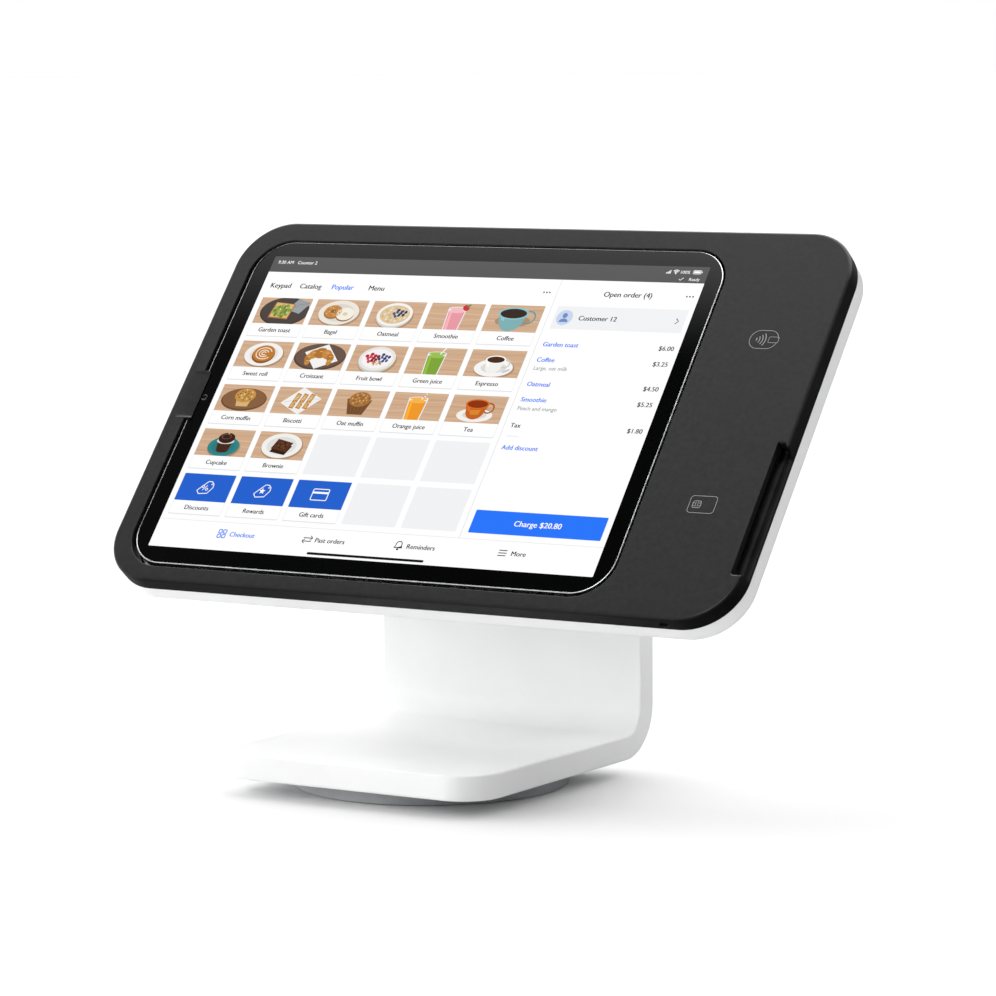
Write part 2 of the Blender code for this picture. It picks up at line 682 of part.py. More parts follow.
def build_tablet(parent):
    build_tablet_housing(parent)
    glass = tablet_block("tablet_glass", 1.1, -0.6, 0.2, front=0.25, fillet_steps=2)
    finish(glass, parent, GLASS_BLACK)
    panel = block("tablet_display", (-115.6, -80.8, -2.1), (115.6, 80.8, -0.9), 3, 3)
    finish(panel, parent, SCREEN)
    battery = block("tablet_battery", (-85, -70, -4.7), (60, 70, -2.4), 3, 2)
    finish(battery, parent, BLACK_PLASTIC)
    finish(block("tablet_board", (64, -70, -4.7), (108, 70, -3.2)), parent, BOARD_GREEN)
    camera = cylinder("front_camera", 1.9, (-119.3, 0, -3.2), (-119.3, 0, -0.9), 20)
    finish(camera, parent, BLACK_PLASTIC)


def build_tablet_buttons(parent):
    low = (-124.1, POWER_BUTTON_V - BUTTON_HALF, BUTTON_LOW_W)
    high = (-122.5, POWER_BUTTON_V + BUTTON_HALF, BUTTON_HIGH_W)
    finish(block("power_button", low, high), parent, ALUMINIUM)
    for name, u in zip(("volume_up_button", "volume_down_button"), VOLUME_BUTTONS):
        low, high = (u - BUTTON_HALF, 87.95, BUTTON_LOW_W), (u + BUTTON_HALF, 89.55, BUTTON_HIGH_W)
        finish(block(name, low, high), parent, ALUMINIUM)


# Card reader


def build_card_guide(parent):
    """The channel the card slides into, with the chip contacts under it."""
    slot_low, slot_high = SLOT_V - SLOT_HALF, SLOT_V + SLOT_HALF
    low, high = (READER_LEFT, slot_low - 2.5, -6.4), (READER_RIGHT, slot_high + 2.5, -1.0)
    guide = block("card_guide", low, high)
    guide.parent = parent
    cut(guide, block("guide_slot", (READER_LEFT + 2, slot_low, SLOT_LOW_W), (180, slot_high, -1.5)))
    low, high = (140.7, SLOT_V - 6.3, -10), (153.3, SLOT_V + 6.3, SLOT_LOW_W + 0.1)
    cut(guide, block("guide_contact_hole", low, high))
    finish(guide, parent, BLACK_PLASTIC)
    contacts = block("contact_block", (141, SLOT_V - 6, -6.3), (153, SLOT_V + 6, -3.3))
    finish(contacts, parent, BRASS)


def build_reader_board(parent):
    board = block("reader_board", (READER_LEFT, -74.2, -8.2), (READER_RIGHT, 85, -6.8), 4, 2)
    finish(board, parent, BOARD_GREEN)
    finish(block("shield_can", (136, 67, -6.4), (168, 83, -3.4), 1, 2), parent, STEEL)
    antenna = block("nfc_antenna", (134, 20, -1.9), (174, 64, -1.0), 6, 3)
    antenna.parent = parent
    cut(antenna, block("antenna_inner", (138, 24, -5), (170, 60, 2), 3, 3))
    finish(antenna, parent, COPPER)
    plug = block("dock_plug", (128.0, -7, -6.2), (137, 7, -1.1), 0.8, 2)
    plug.parent = parent
    tongue = block("plug_tongue", (119.5, -4.2, -4.15), (129, 4.2, -1.75))
    finish(join(plug, tongue), parent, BLACK_PLASTIC)


def build_latch(parent):
    housing = block("latch_housing", (LATCH_U - 7, -93, -8.2), (LATCH_U + 7, -75.5, -1.2))
    housing.parent = parent
    cut(housing, block("latch_channel", (LATCH_U - 4, -96, -6.8), (LATCH_U + 4, -77.5, 2)))
    finish(housing, parent, BLACK_PLASTIC)
    latch = block("release_latch", (LATCH_U - 3.7, -95.9, -6.5), (LATCH_U + 3.7, -84.5, -1.6))
    finish(latch, parent, STEEL)
    points = []
    points_per_turn = 12
    count = SPRING_TURNS * points_per_turn
    for index in range(count + 1):
        angle = 2 * math.pi * index / points_per_turn
        v = SPRING_LOW_V + (SPRING_HIGH_V - SPRING_LOW_V) * index / count
        u, w = SPRING_RADIUS * math.cos(angle), SPRING_RADIUS * math.sin(angle)
        points.append((LATCH_U + u, v, SPRING_W + w))
    finish(wire("latch_spring", points, SPRING_WIRE, 1), parent, STEEL)


# Hinge, in the head frame


def hinge_point(offset):
    return (HINGE_U + offset, HINGE_V, HINGE_W)


def build_bracket(parent, side, word):
    """A foot on the chassis with an ear that holds the shaft."""
    near, far = sorted((EAR_NEAR * side, EAR_FAR * side))
    low, high = HINGE_U + near, HINGE_U + far
    ear = cylinder(f"hinge_bracket_{word}", EAR_RADIUS, hinge_point(near), hinge_point(far), 24)
    ear.parent = parent
    stem_low = (low, HINGE_V - EAR_RADIUS, HINGE_W)
    stem = block(f"ear_stem_{word}", stem_low, (high, HINGE_V + EAR_RADIUS, -10.8))
    foot_low, foot_high = sorted((HINGE_U + 34 * side, HINGE_U + 56 * side))
    low, high = (foot_low, HINGE_V - 12, -12.6), (foot_high, HINGE_V + 12, -10.6)
    foot = block(f"ear_foot_{word}", low, high)
    start, end = hinge_point(near - 1), hinge_point(far + 1)
    bore = cylinder(f"ear_bore_{word}", SHAFT_RADIUS + GAP, start, end, 24)
    finish(cut(join(ear, stem, foot), bore), parent, STEEL)


def build_hinge(parent):
    start, end = hinge_point(-SHAFT_HALF), hinge_point(SHAFT_HALF)
    finish(cylinder("tilt_shaft", SHAFT_RADIUS, start, end, 32), parent, STEEL)
    for side, word in ((-1, "left"), (1, "right")):
        build_bracket(parent, side, word)
        ring = washer(f"friction_washer_{word}", SHAFT_RADIUS + GAP, EAR_RADIUS, -0.2, 0.2, 24)
        ring.location = Vector(hinge_point((BARREL_HALF + EAR_NEAR) / 2 * side)) * MM
        ring.rotation_euler = (0, math.radians(90), 0)
        finish(ring, parent, BRASS)
        near, far = (EAR_FAR + GAP) * side, 51.5 * side
        nut = cylinder(f"hinge_nut_{word}", 5.2, hinge_point(near), hinge_point(far), 6)
        nut.parent = parent
        start, end = hinge_point(near - side), hinge_point(far + side)
        bore = cylinder(f"nut_bore_{word}", SHAFT_RADIUS + GAP, start, end, 24)
        finish(cut(nut, bore), parent, STEEL)
        build_hinge_cover(parent, side, word)


def pod_outline(radius, near_w):
    """A half-round end about the hinge axis that runs straight towards the head, as (v, w)."""
    end = arc((HINGE_V, HINGE_W), radius, 180, 360, 12)
    return [(HINGE_V + radius, near_w), (HINGE_V - radius, near_w), *end]


def build_hinge_cover(parent, side, word):
    near, far = sorted((HINGE_U + POD_NEAR * side, HINGE_U + POD_FAR * side))
    outline = pod_outline(POD_RADIUS, COVER_BACK_W - GAP)
    cover = extruded(f"hinge_cover_{word}", outline, near, far, "YZX")
    cover.parent = parent
    near, far = sorted((HINGE_U + (POD_NEAR - PAST) * side, HINGE_U + (POD_FAR - 1.7) * side))
    outline = pod_outline(POD_RADIUS - POD_WALL, COVER_BACK_W + PAST)
    finish(cut(cover, extruded(f"pod_hollow_{word}", outline, near, far, "YZX")), parent, WHITE)


clear_scene()
PARTS = new_collection("card_payment_terminal")
CUTTERS = new_collection("cutters")

WHITE = make_material("white_shell", (0.86, 0.87, 0.87), 0.25)
CHARCOAL = make_material("charcoal_frame", (0.045, 0.045, 0.047), 0.5)
FOOT_GREY = make_material("foot_grey", (0.27, 0.28, 0.29), 0.5)
PALE_GREY = make_material("pale_grey_cover", (0.62, 0.63, 0.64), 0.5)
RUBBER = make_material("rubber", (0.03, 0.03, 0.03), 0.8)
ACETAL = make_material("acetal", (0.75, 0.74, 0.70), 0.4)
STEEL = make_material("steel", (0.62, 0.62, 0.63), 0.3, 1.0)
ALUMINIUM = make_material("aluminium", (0.75, 0.76, 0.77), 0.25, 1.0)
BRASS = make_material("brass", (0.80, 0.60, 0.25), 0.3, 1.0)
COPPER = make_material("copper", (0.72, 0.35, 0.18), 0.35, 1.0)
GLASS_BLACK = make_material("glass_black", (0.01, 0.011, 0.012), 0.08)
SCREEN = make_material("screen", (0.85, 0.88, 0.92), 0.2)
BLACK_PLASTIC = make_material("black_plastic", (0.02, 0.02, 0.02), 0.5)
BOARD_GREEN = make_material("board_green", (0.03, 0.18, 0.08), 0.5)

foot = new_empty("foot_centre")
swivel = new_empty("swivel_axis", foot)
tilt_axis = new_empty("tilt_axis", swivel, (0, HINGE_Y, HINGE_Z))
head_offset = Vector(DISPLAY_CENTRE) - Vector((0, HINGE_Y, HINGE_Z))
head = new_empty("head_plane", tilt_axis, head_offset, TILT)

build_foot(foot)
build_swivel_post(foot)
build_stand_arm(swivel)
build_bottom_cover(swivel)
build_base_inside(swivel)
build_neck_cover(swivel)
build_power_socket(swivel)
build_neck_lead(swivel)
build_front_frame(head)
build_rear_cover(head)
build_chassis(head)
build_tablet(head)
build_tablet_buttons(head)
build_card_guide(head)
build_reader_board(head)
build_latch(head)
build_hinge(head)
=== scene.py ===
"""Looks of a counter-top card payment terminal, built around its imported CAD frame.

World: origin under the foot's centre, +X to the cashier's right, +Y to the back, +Z up.
Head: u to the right, v up the screen, w out of the screen, from the middle of the display.
Sizes are in millimetres unless a name says otherwise. Objects are in metres."""

import copy
import json
import math

import bmesh
import bpy
from mathutils import Matrix, Vector


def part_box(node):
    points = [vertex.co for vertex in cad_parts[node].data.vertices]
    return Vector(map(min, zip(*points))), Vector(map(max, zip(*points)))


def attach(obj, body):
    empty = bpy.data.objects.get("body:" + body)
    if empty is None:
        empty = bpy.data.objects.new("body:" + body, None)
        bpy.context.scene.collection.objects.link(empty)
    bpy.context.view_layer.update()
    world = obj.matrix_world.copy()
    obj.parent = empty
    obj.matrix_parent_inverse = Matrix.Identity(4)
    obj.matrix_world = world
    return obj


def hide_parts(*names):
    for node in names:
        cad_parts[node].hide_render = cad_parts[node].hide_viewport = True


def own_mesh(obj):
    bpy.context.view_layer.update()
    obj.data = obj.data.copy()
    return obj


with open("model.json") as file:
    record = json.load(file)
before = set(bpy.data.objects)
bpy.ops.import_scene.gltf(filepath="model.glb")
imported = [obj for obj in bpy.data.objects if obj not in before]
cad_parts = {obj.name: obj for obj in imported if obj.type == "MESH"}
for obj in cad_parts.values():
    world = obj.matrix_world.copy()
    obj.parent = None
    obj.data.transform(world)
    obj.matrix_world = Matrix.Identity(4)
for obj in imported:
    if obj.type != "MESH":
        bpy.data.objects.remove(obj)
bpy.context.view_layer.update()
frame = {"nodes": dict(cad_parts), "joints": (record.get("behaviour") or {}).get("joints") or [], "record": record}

MM = 0.001
IDENTITY = Matrix.Identity(4)
NODES = frame["nodes"]

# Clearances and wall thicknesses that the CAD model uses
GAP, WALL = 0.3, 2.2
SCREW_HOLE, SCREW_SINK = 1.7, 3.1
# How far a cutting shape reaches past what it cuts
PAST = 5.0

# The head's face above its display, and the head's directions
FACE_W = 1.5
ACROSS = Vector((1.0, 0.0, 0.0))
UP = Vector(next(j["axis"] for j in frame["joints"] if j["name"] == "latch_slide")).normalized()
OUT = ACROSS.cross(UP)


def span(node, direction):
    """Lowest and highest place of a CAD node along a direction, in metres."""
    places = [vertex.co.dot(direction) for vertex in NODES[node].data.vertices]
    return min(places), max(places)


def head_matrix():
    middle = [sum(span("tablet_display", direction)) / 2 for direction in (ACROSS, UP)]
    face = span("front_frame", OUT)[1] - FACE_W * MM
    turn = Matrix((ACROSS, UP, OUT)).transposed().to_4x4()
    return Matrix.Translation(middle[0] * ACROSS + middle[1] * UP + face * OUT) @ turn


HEAD = head_matrix()


def head_box(node):
    """Lowest and highest (u, v, w) of a CAD node."""
    spans = [span(node, direction) for direction in (ACROSS, UP, OUT)]
    origin = [HEAD.translation.dot(direction) for direction in (ACROSS, UP, OUT)]
    return [Vector([(s[end] - o) / MM for s, o in zip(spans, origin)]) for end in (0, 1)]


def world_box(node):
    low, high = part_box(node)
    return low / MM, high / MM


# ---- meshes


def arc(centre, radius, start_deg, end_deg, steps):
    angles = [math.radians(start_deg + (end_deg - start_deg) * i / steps) for i in range(steps + 1)]
    return [(centre[0] + radius * math.cos(a), centre[1] + radius * math.sin(a)) for a in angles]


def circle(radius, steps, centre=(0, 0)):
    return arc(centre, radius, 0, 360, steps)[:-1]


def rounded_rect(low, high, radius, steps=8):
    """An anticlockwise outline with rounded corners, as (x, y)."""
    left, bottom, right, top = low[0] + radius, low[1] + radius, high[0] - radius, high[1] - radius
    corners = enumerate(((right, top), (left, top), (left, bottom), (right, bottom)))
    return [point for i, corner in corners for point in arc(corner, radius, 90 * i, 90 * i + 90, steps)]


def grown(low, high, radius, by, steps=8):
    """A rounded rectangle grown on every side, or shrunk where by is below 0."""
    low, high = (low[0] - by, low[1] - by), (high[0] + by, high[1] + by)
    return rounded_rect(low, high, max(radius + by, 0.02), steps)


def at_height(outline, height):
    return [(x, y, height) for x, y in outline]


def quarter(steps):
    """(inset, drop) of a quarter-round edge of radius 1, from the wall up to the face."""
    angles = [math.pi / 2 * i / steps for i in range(steps + 1)]
    return [(1 - math.cos(a), 1 - math.sin(a)) for a in angles]


def rim_up(make, height, radius, steps):
    """A lower rim: what make gives for each (inset, height), from its flat side up to its wall."""
    return [make(radius * i, height + radius * d) for i, d in reversed(quarter(steps))]


def rim_over(make, height, radius, steps):
    """An upper rim: what make gives for each (inset, height), from its wall up to its flat side."""
    return [make(radius * i, height - radius * d) for i, d in quarter(steps)]


def joined(bm, loops, ring=False):
    """Joins loops of equal length with quads. A ring closes on itself."""
    made = [[bm.verts.new(Vector(point) * MM) for point in loop] for loop in loops]
    for first, second in list(zip(made, made[1:])) + ([(made[-1], made[0])] if ring else []):
        for i in range(len(first)):
            j = (i + 1) % len(first)
            bm.faces.new((first[i], first[j], second[j], second[i]))
    return made


def loft(bm, loops, ring=False):
    """Joined loops, with a flat cap at both ends unless they make a ring."""
    made = joined(bm, loops, ring)
    if not ring:
        bm.faces.new(made[0][::-1])
        bm.faces.new(made[-1])


def new_object(name, bm, place=IDENTITY):
    """An object whose mesh is already in the row frame, with its faces turned outwards."""
    bmesh.ops.recalc_face_normals(bm, faces=bm.faces)
    if bm.calc_volume(signed=True) < 0:
        bmesh.ops.reverse_faces(bm, faces=bm.faces)
    bmesh.ops.transform(bm, matrix=place, verts=bm.verts)
    mesh = bpy.data.meshes.new(name)
    bm.to_mesh(mesh)
    bm.free()
    return linked(bpy.data.objects.new(name, mesh))


def linked(obj):
    bpy.context.scene.collection.objects.link(obj)
    return obj


def lofted(name, loops, place=IDENTITY, ring=False):
    bm = bmesh.new()
    loft(bm, loops, ring)
    return new_object(name, bm, place)


def block(name, low, high, radius=0.02, place=IDENTITY, front=0.0, back=0.0, steps=8, fillet_steps=5):
    """A box with rounded uprights, and a rounded rim at its top (front) and its bottom (back)."""
    loop = lambda inset, height: at_height(grown(low, high, radius, -inset, steps), height)
    loops = rim_up(loop, low[2], back, fillet_steps) if back else [loop(0, low[2])]
    loops += rim_over(loop, high[2], front, fillet_steps) if front else [loop(0, high[2])]
    return lofted(name, loops, place)


def turned(name, profile, steps, place=IDENTITY, ring=False):
    """Turns (radius, height) points about Z. Points on the axis get a radius too small to see."""
    loops = [at_height(circle(max(radius, 1e-3), steps), height) for radius, height in profile]
    return lofted(name, loops, place, ring)


def rod(name, radius, start, end, place=IDENTITY, steps=48):
    """A cylinder between two points."""
    start, end = Vector(start), Vector(end)
    turn = Vector((0, 0, 1)).rotation_difference(end - start).to_matrix().to_4x4()
    here = place @ Matrix.Translation(start * MM) @ turn
    return turned(name, [(radius, 0), (radius, (end - start).length)], steps, here)


def rods(name, radius, places, low, high, place=IDENTITY, steps=48):
    """Upright cylinders at several places, between two heights."""
    return [rod(name, radius, (*at, low), (*at, high), place, steps) for at in places]


def tube(name, points, radius, sides, place=IDENTITY):
    """A round wire through the points, with flat ends."""
    loops = []
    for i, point in enumerate(points):
        before, after = points[max(i - 1, 0)], points[min(i + 1, len(points) - 1)]
        turn = Vector((0, 0, 1)).rotation_difference(Vector(after) - Vector(before)).to_matrix()
        loops.append([tuple(Vector(point) + turn @ Vector((a, b, 0))) for a, b in circle(radius, sides)])
    return lofted(name, loops, place)


def carve(target, tools, operation="DIFFERENCE"):
    """Applies the tools to the target's mesh, one after the other, and removes them.
    Triangles in between let the next cut handle large flat faces cleanly."""
    for tool in tools:
        modifier = target.modifiers.new("carve", "BOOLEAN")
        modifier.operation, modifier.object, modifier.solver = operation, tool, "EXACT"
        graph = bpy.context.evaluated_depsgraph_get()
        mesh = bpy.data.meshes.new_from_object(target.evaluated_get(graph))
        target.modifiers.clear()
        bm = bmesh.new()
        bm.from_mesh(mesh)
        bmesh.ops.triangulate(bm, faces=bm.faces)
        bm.to_mesh(mesh)
        bm.free()
        target.data = mesh
        bpy.data.objects.remove(tool, do_unlink=True)
    return target


def piece(obj, body, replaced, slot, material=None, sharp_deg=32.0):
    """Gives a finished mesh its shading, its material and its body, and hides the CAD nodes that it stands for."""
    obj.data.shade_smooth()
    obj.data.set_sharp_from_angle(angle=math.radians(sharp_deg))
    obj.data.materials.clear()
    obj.data.materials.append(material or FINISH[slot])
    obj.modifiers.new("weighted_normals", "WEIGHTED_NORMAL").keep_sharp = True
    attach(obj, body)
    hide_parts(*replaced)
    return obj


# ---- materials

# The middle part of the noise, which colours and roughness follow
NOISE_LOW, NOISE_HIGH = 0.3, 0.7


def plug(tree, node, sockets):
    """Links each named socket of a node to an output, or sets it to a value."""
    for name, value in sockets.items():
        if isinstance(value, bpy.types.NodeSocket):
            tree.links.new(value, node.inputs[name])
        else:
            node.inputs[name].default_value = value
    return node


def added(tree, kind, sockets={}):
    return plug(tree, tree.nodes.new(kind), sockets)


def shader_of(name):
    material = bpy.data.materials.new(name)
    material.use_nodes = True
    return material, material.node_tree, material.node_tree.nodes["Principled BSDF"]


def noise(tree, scale, detail=3.0, stretch=(1, 1, 1)):
    """Noise over the object's own space. scale is in patches a metre."""
    place = added(tree, "ShaderNodeTexCoord").outputs["Object"]
    place = added(tree, "ShaderNodeMapping", {"Scale": stretch, "Vector": place}).outputs["Vector"]
    sockets = {"Scale": scale, "Detail": detail, "Vector": place}
    return added(tree, "ShaderNodeTexNoise", sockets).outputs["Fac"]


def ramp(tree, fac, dark, light):
    colours = added(tree, "ShaderNodeValToRGB", {"Fac": fac})
    first, second = colours.color_ramp.elements
    first.position, second.position = NOISE_LOW, NOISE_HIGH
    first.color, second.color = (*dark, 1), (*light, 1)
    return colours.outputs["Color"]


def ranged(tree, fac, low, high):
    sockets = {"From Min": NOISE_LOW, "From Max": NOISE_HIGH, "To Min": low, "To Max": high, "Value": fac}
    return added(tree, "ShaderNodeMapRange", sockets).outputs["Result"]


def surface(name, dark, light, rough, patch, grain, depth_mm, metal=0.0, specular=0.5, stretch=(1, 1, 1)):
    """Moulded or machined stuff: a slow drift of colour and roughness, and a fine surface grain."""
    material, tree, shader = shader_of(name)
    drift = noise(tree, patch, stretch=stretch)
    grit = noise(tree, grain, 2.0, stretch)
    bump = added(tree, "ShaderNodeBump", {"Distance": depth_mm * MM, "Strength": 1.0, "Height": grit})
    sockets = {"Base Color": ramp(tree, drift, dark, light), "Roughness": ranged(tree, drift, *rough)}
    sockets |= {"Normal": bump.outputs["Normal"], "Metallic": metal, "Specular IOR Level": specular}
    plug(tree, shader, sockets)
    return material


# For each slot: two colours, roughness, patches and grains a metre, depth of the grain, and what is unusual
FINISHES = {
    "white_shell": ((0.855, 0.857, 0.86), (0.875, 0.877, 0.88), (0.30, 0.36), 45, 1400, 0.004),
    "charcoal_frame": (
        (0.007, 0.007, 0.0075), (0.010, 0.010, 0.0105), (0.29, 0.35), 500, 2600, 0.012, 0.0, 0.28
    ),
    "foot_grey": ((0.33, 0.34, 0.35), (0.37, 0.38, 0.39), (0.42, 0.52), 220, 2200, 0.012),
    "pale_grey_cover": ((0.58, 0.59, 0.60), (0.64, 0.65, 0.66), (0.45, 0.55), 90, 1800, 0.012),
    "rubber": ((0.022, 0.022, 0.022), (0.034, 0.034, 0.034), (0.7, 0.85), 200, 1500, 0.03),
    "acetal": ((0.70, 0.69, 0.65), (0.78, 0.77, 0.73), (0.35, 0.45), 80, 1200, 0.006),
    "steel": ((0.52, 0.52, 0.53), (0.64, 0.64, 0.65), (0.24, 0.36), 260, 2400, 0.004, 1.0, 0.5, (1, 1, 12)),
    "aluminium": ((0.70, 0.71, 0.72), (0.80, 0.81, 0.82), (0.22, 0.32), 300, 4000, 0.004, 1.0),
    "brass": ((0.72, 0.53, 0.21), (0.84, 0.65, 0.30), (0.25, 0.38), 240, 2400, 0.004, 1.0),
    "copper": ((0.64, 0.30, 0.15), (0.76, 0.40, 0.22), (0.3, 0.42), 240, 2400, 0.004, 1.0),
    "glass_black": (
        (0.0010, 0.0011, 0.0012), (0.0014, 0.0015, 0.0016), (0.02, 0.035), 40, 300, 0.0002, 0.0, 0.33
    ),
    "black_plastic": ((0.016, 0.016, 0.016), (0.024, 0.024, 0.024), (0.45, 0.55), 160, 2000, 0.01),
    "board_green": ((0.02, 0.14, 0.06), (0.045, 0.22, 0.10), (0.35, 0.5), 420, 1200, 0.02),
}
FINISH = {slot: surface(slot, *values) for slot, values in FINISHES.items()}
LIT = {}


def linear(hexed):
    """The linear colour of a display colour written as six hex digits."""
    parts = [int(hexed[i : i + 2], 16) / 255 for i in (0, 2, 4)]
    return [p / 12.92 if p <= 0.04045 else ((p + 0.055) / 1.055) ** 2.4 for p in parts]


def lit(colour):
    """A patch of a lit display under its gloss: it glows one colour over a nearly black base."""
    if colour not in LIT:
        LIT[colour], tree, shader = shader_of(f"screen_{colour}")
        cells = noise(tree, 900, 1.0)
        base = ramp(tree, cells, (0.001, 0.001, 0.001), (0.002, 0.002, 0.002))
        sockets = {"Base Color": base, "Roughness": ranged(tree, cells, 0.05, 0.07), "Specular IOR Level": 0.2}
        sockets |= {"Emission Color": (*linear(colour), 1), "Emission Strength": 1.0}
        plug(tree, shader, sockets)
    return LIT[colour]


# ---- foot


def build_foot():
    high = world_box("foot_disc")[1]
    radius, top = high[0], high[2]
    pocket_inner, pocket_outer, pocket_floor = 19.7, 30.3, 5.3
    pad_radius, washer_radius, washer_seat, post_bore = 57.6, 10.3, 3.7, 6.3
    rim, skirt_low, skirt_round, recess = 0.7, 0.3, 0.3, 0.9
    wall = lambda inset, height: (radius - inset, height)
    profile = [(pocket_outer, top)] + rim_over(wall, top, rim, 5)[::-1]
    profile += rim_up(wall, skirt_low, skirt_round, 3)[::-1]
    profile += [(pad_radius, skirt_low), (pad_radius, recess), (washer_radius, recess)]
    profile += [(washer_radius, washer_seat), (post_bore, washer_seat), (post_bore, top)]
    profile += [(pocket_inner, top), (pocket_inner, pocket_floor), (pocket_outer, pocket_floor)]
    piece(turned("foot_disc_body", profile, 180, ring=True), "foot", ["foot_disc"], "foot_grey")


# ---- stand

THICKNESS = 10.8
BEND_INNER = 12.0
BASE_CORNER, NECK_CORNER = 18.0, 12.0
NECK_TOP = 144.9
STAND_EDGE = 1.1
BEND_LENGTH = 20.0
BASE_SCREWS = [(x, y) for x in (-54, 54) for y in (-54, 38)]
NECK_SCREWS = (36.2, 136.8)
BARREL_RADIUS, BARREL_HALF = 7.5, 43.9
SHAFT_RADIUS = 3.0
CHANNEL_HALF, CHANNEL_LOW, CHANNEL_HIGH, CHANNEL_DEPTH = 15.0, 32.0, 140.0, 4.0
SOCKET_Z = 44.0

STAND_LOW, STAND_HIGH = world_box("stand_arm")
HALF_WIDTH, BASE_FRONT, BASE_BOTTOM = STAND_HIGH[0], STAND_LOW[1], STAND_LOW[2]
BASE_TOP = BASE_BOTTOM + THICKNESS
NECK_BACK = world_box("neck_rear_cover")[1][1]
NECK_FRONT = NECK_BACK - THICKNESS
BEND_Y, BEND_Z = NECK_FRONT - BEND_INNER, BASE_TOP + BEND_INNER
BASE_LENGTH = BEND_Y - BASE_FRONT
PLATE_LENGTH = BASE_LENGTH + BEND_LENGTH + NECK_TOP - BEND_Z
SHAFT_LOW, SHAFT_HIGH = world_box("tilt_shaft")
HINGE_Y, HINGE_Z = (SHAFT_LOW[1] + SHAFT_HIGH[1]) / 2, (SHAFT_LOW[2] + SHAFT_HIGH[2]) / 2


def bent(x, along, depth):
    """A point of the bent plate: along it from the front edge, and below its upper side."""
    if along <= BASE_LENGTH:
        return (x, BASE_FRONT + along, BASE_TOP - depth)
    if along >= BASE_LENGTH + BEND_LENGTH:
        return (x, NECK_FRONT + depth, BEND_Z + along - BASE_LENGTH - BEND_LENGTH)
    angle = math.pi / 2 * (along - BASE_LENGTH) / BEND_LENGTH
    radius = BEND_INNER + depth
    return (x, BEND_Y + radius * math.sin(angle), BEND_Z - radius * math.cos(angle))


def plate_side(inset):
    """The plate's right-hand outline, from its front edge to its top edge, as (x, along)."""
    bend_end = BASE_LENGTH + BEND_LENGTH
    front = arc((HALF_WIDTH - BASE_CORNER, BASE_CORNER), BASE_CORNER - inset, -90, 0, 14)
    top = arc((HALF_WIDTH - NECK_CORNER, PLATE_LENGTH - NECK_CORNER), NECK_CORNER - inset, 0, 90, 12)
    stations = [BASE_CORNER + (BASE_LENGTH - BASE_CORNER) * i / 5 for i in range(1, 5)]
    stations += [BASE_LENGTH + BEND_LENGTH * i / 28 for i in range(29)]
    stations += [bend_end + (PLATE_LENGTH - NECK_CORNER - bend_end) * i / 5 for i in range(1, 5)]
    return front + [(HALF_WIDTH - inset, along) for along in stations] + top


def build_plate():
    rounds = [(i * STAND_EDGE, d * STAND_EDGE) for i, d in quarter(6)]
    loops = []
    for inset, depth in rounds[::-1] + [(i, THICKNESS - d) for i, d in rounds]:
        right = plate_side(inset)
        outline = right + [(-x, along) for x, along in reversed(right)]
        loops.append([bent(x, along, depth) for x, along in outline])
    bm = bmesh.new()
    made = joined(bm, loops)
    for loop in (made[0], made[-1]):
        for i in range(len(loop) // 2 - 1):
            bm.faces.new((loop[i], loop[i + 1], loop[-2 - i], loop[-1 - i]))
    return new_object("stand_body", bm)


def build_stand():
    stand = build_plate()
    web = block("web", (-BARREL_HALF, NECK_FRONT, NECK_TOP - 8), (BARREL_HALF, NECK_BACK, HINGE_Z))
    along_hinge = lambda half: ((-half, HINGE_Y, HINGE_Z), (half, HINGE_Y, HINGE_Z))
    carve(stand, [web, rod("barrel", BARREL_RADIUS, *along_hinge(BARREL_HALF), steps=64)], "UNION")
    channel_low = (-CHANNEL_HALF, NECK_BACK - CHANNEL_DEPTH, CHANNEL_LOW)
    cuts = [
        rod("bore", SHAFT_RADIUS + 0.1, *along_hinge(BARREL_HALF + PAST)),
        block("pocket", (-60, -62, 0), (60, 46, BASE_TOP - 2.5), 12),
        block("channel", channel_low, (CHANNEL_HALF, NECK_BACK + PAST, CHANNEL_HIGH)),
        block("inlet", (-8, NECK_BACK - 8, SOCKET_Z - 6), (8, NECK_BACK, SOCKET_Z + 6)),
    ]
    cuts += [rod("neck_hole", SCREW_HOLE, (0, NECK_BACK - 8, z), (0, NECK_BACK, z)) for z in NECK_SCREWS]
    carve(stand, cuts)
    boss_low = world_box("bottom_cover")[1][2] + GAP
    carve(stand, rods("boss", 4.0, BASE_SCREWS, boss_low, BASE_TOP - 1), "UNION")
    carve(stand, rods("hole", SCREW_HOLE, BASE_SCREWS, 5, 13.5))
    piece(stand, "stand", ["stand_arm"], "white_shell")


def build_neck_cover():
    """The cover over the cable channel, with softened edges and dished screw seats."""
    low, high = world_box("neck_rear_cover")
    turn = Matrix(((1, 0, 0), (0, 0, 1), (0, -1, 0))).to_4x4()
    place = Matrix.Translation((0, high[1] * MM, 0)) @ turn
    low_corner, high_corner = (low[0], -high[2], low[1] - high[1]), (high[0], -low[2], 0)
    cover = block("neck_cover_panel", low_corner, high_corner, 1.0, place, front=0.35, steps=4)
    half_width, half_height, reach = 4.8, 1.95, 9
    low_corner = (-half_width, -SOCKET_Z - half_height, -reach)
    high_corner = (half_width, -SOCKET_Z + half_height, reach)
    cuts = [block("inlet_window", low_corner, high_corner, 0.9, place, steps=4)]
    cuts += rods("screw_hole", SCREW_HOLE, [(0, -z) for z in NECK_SCREWS], -reach, reach, place)
    piece(carve(cover, cuts), "stand", ["neck_rear_cover"], "white_shell")


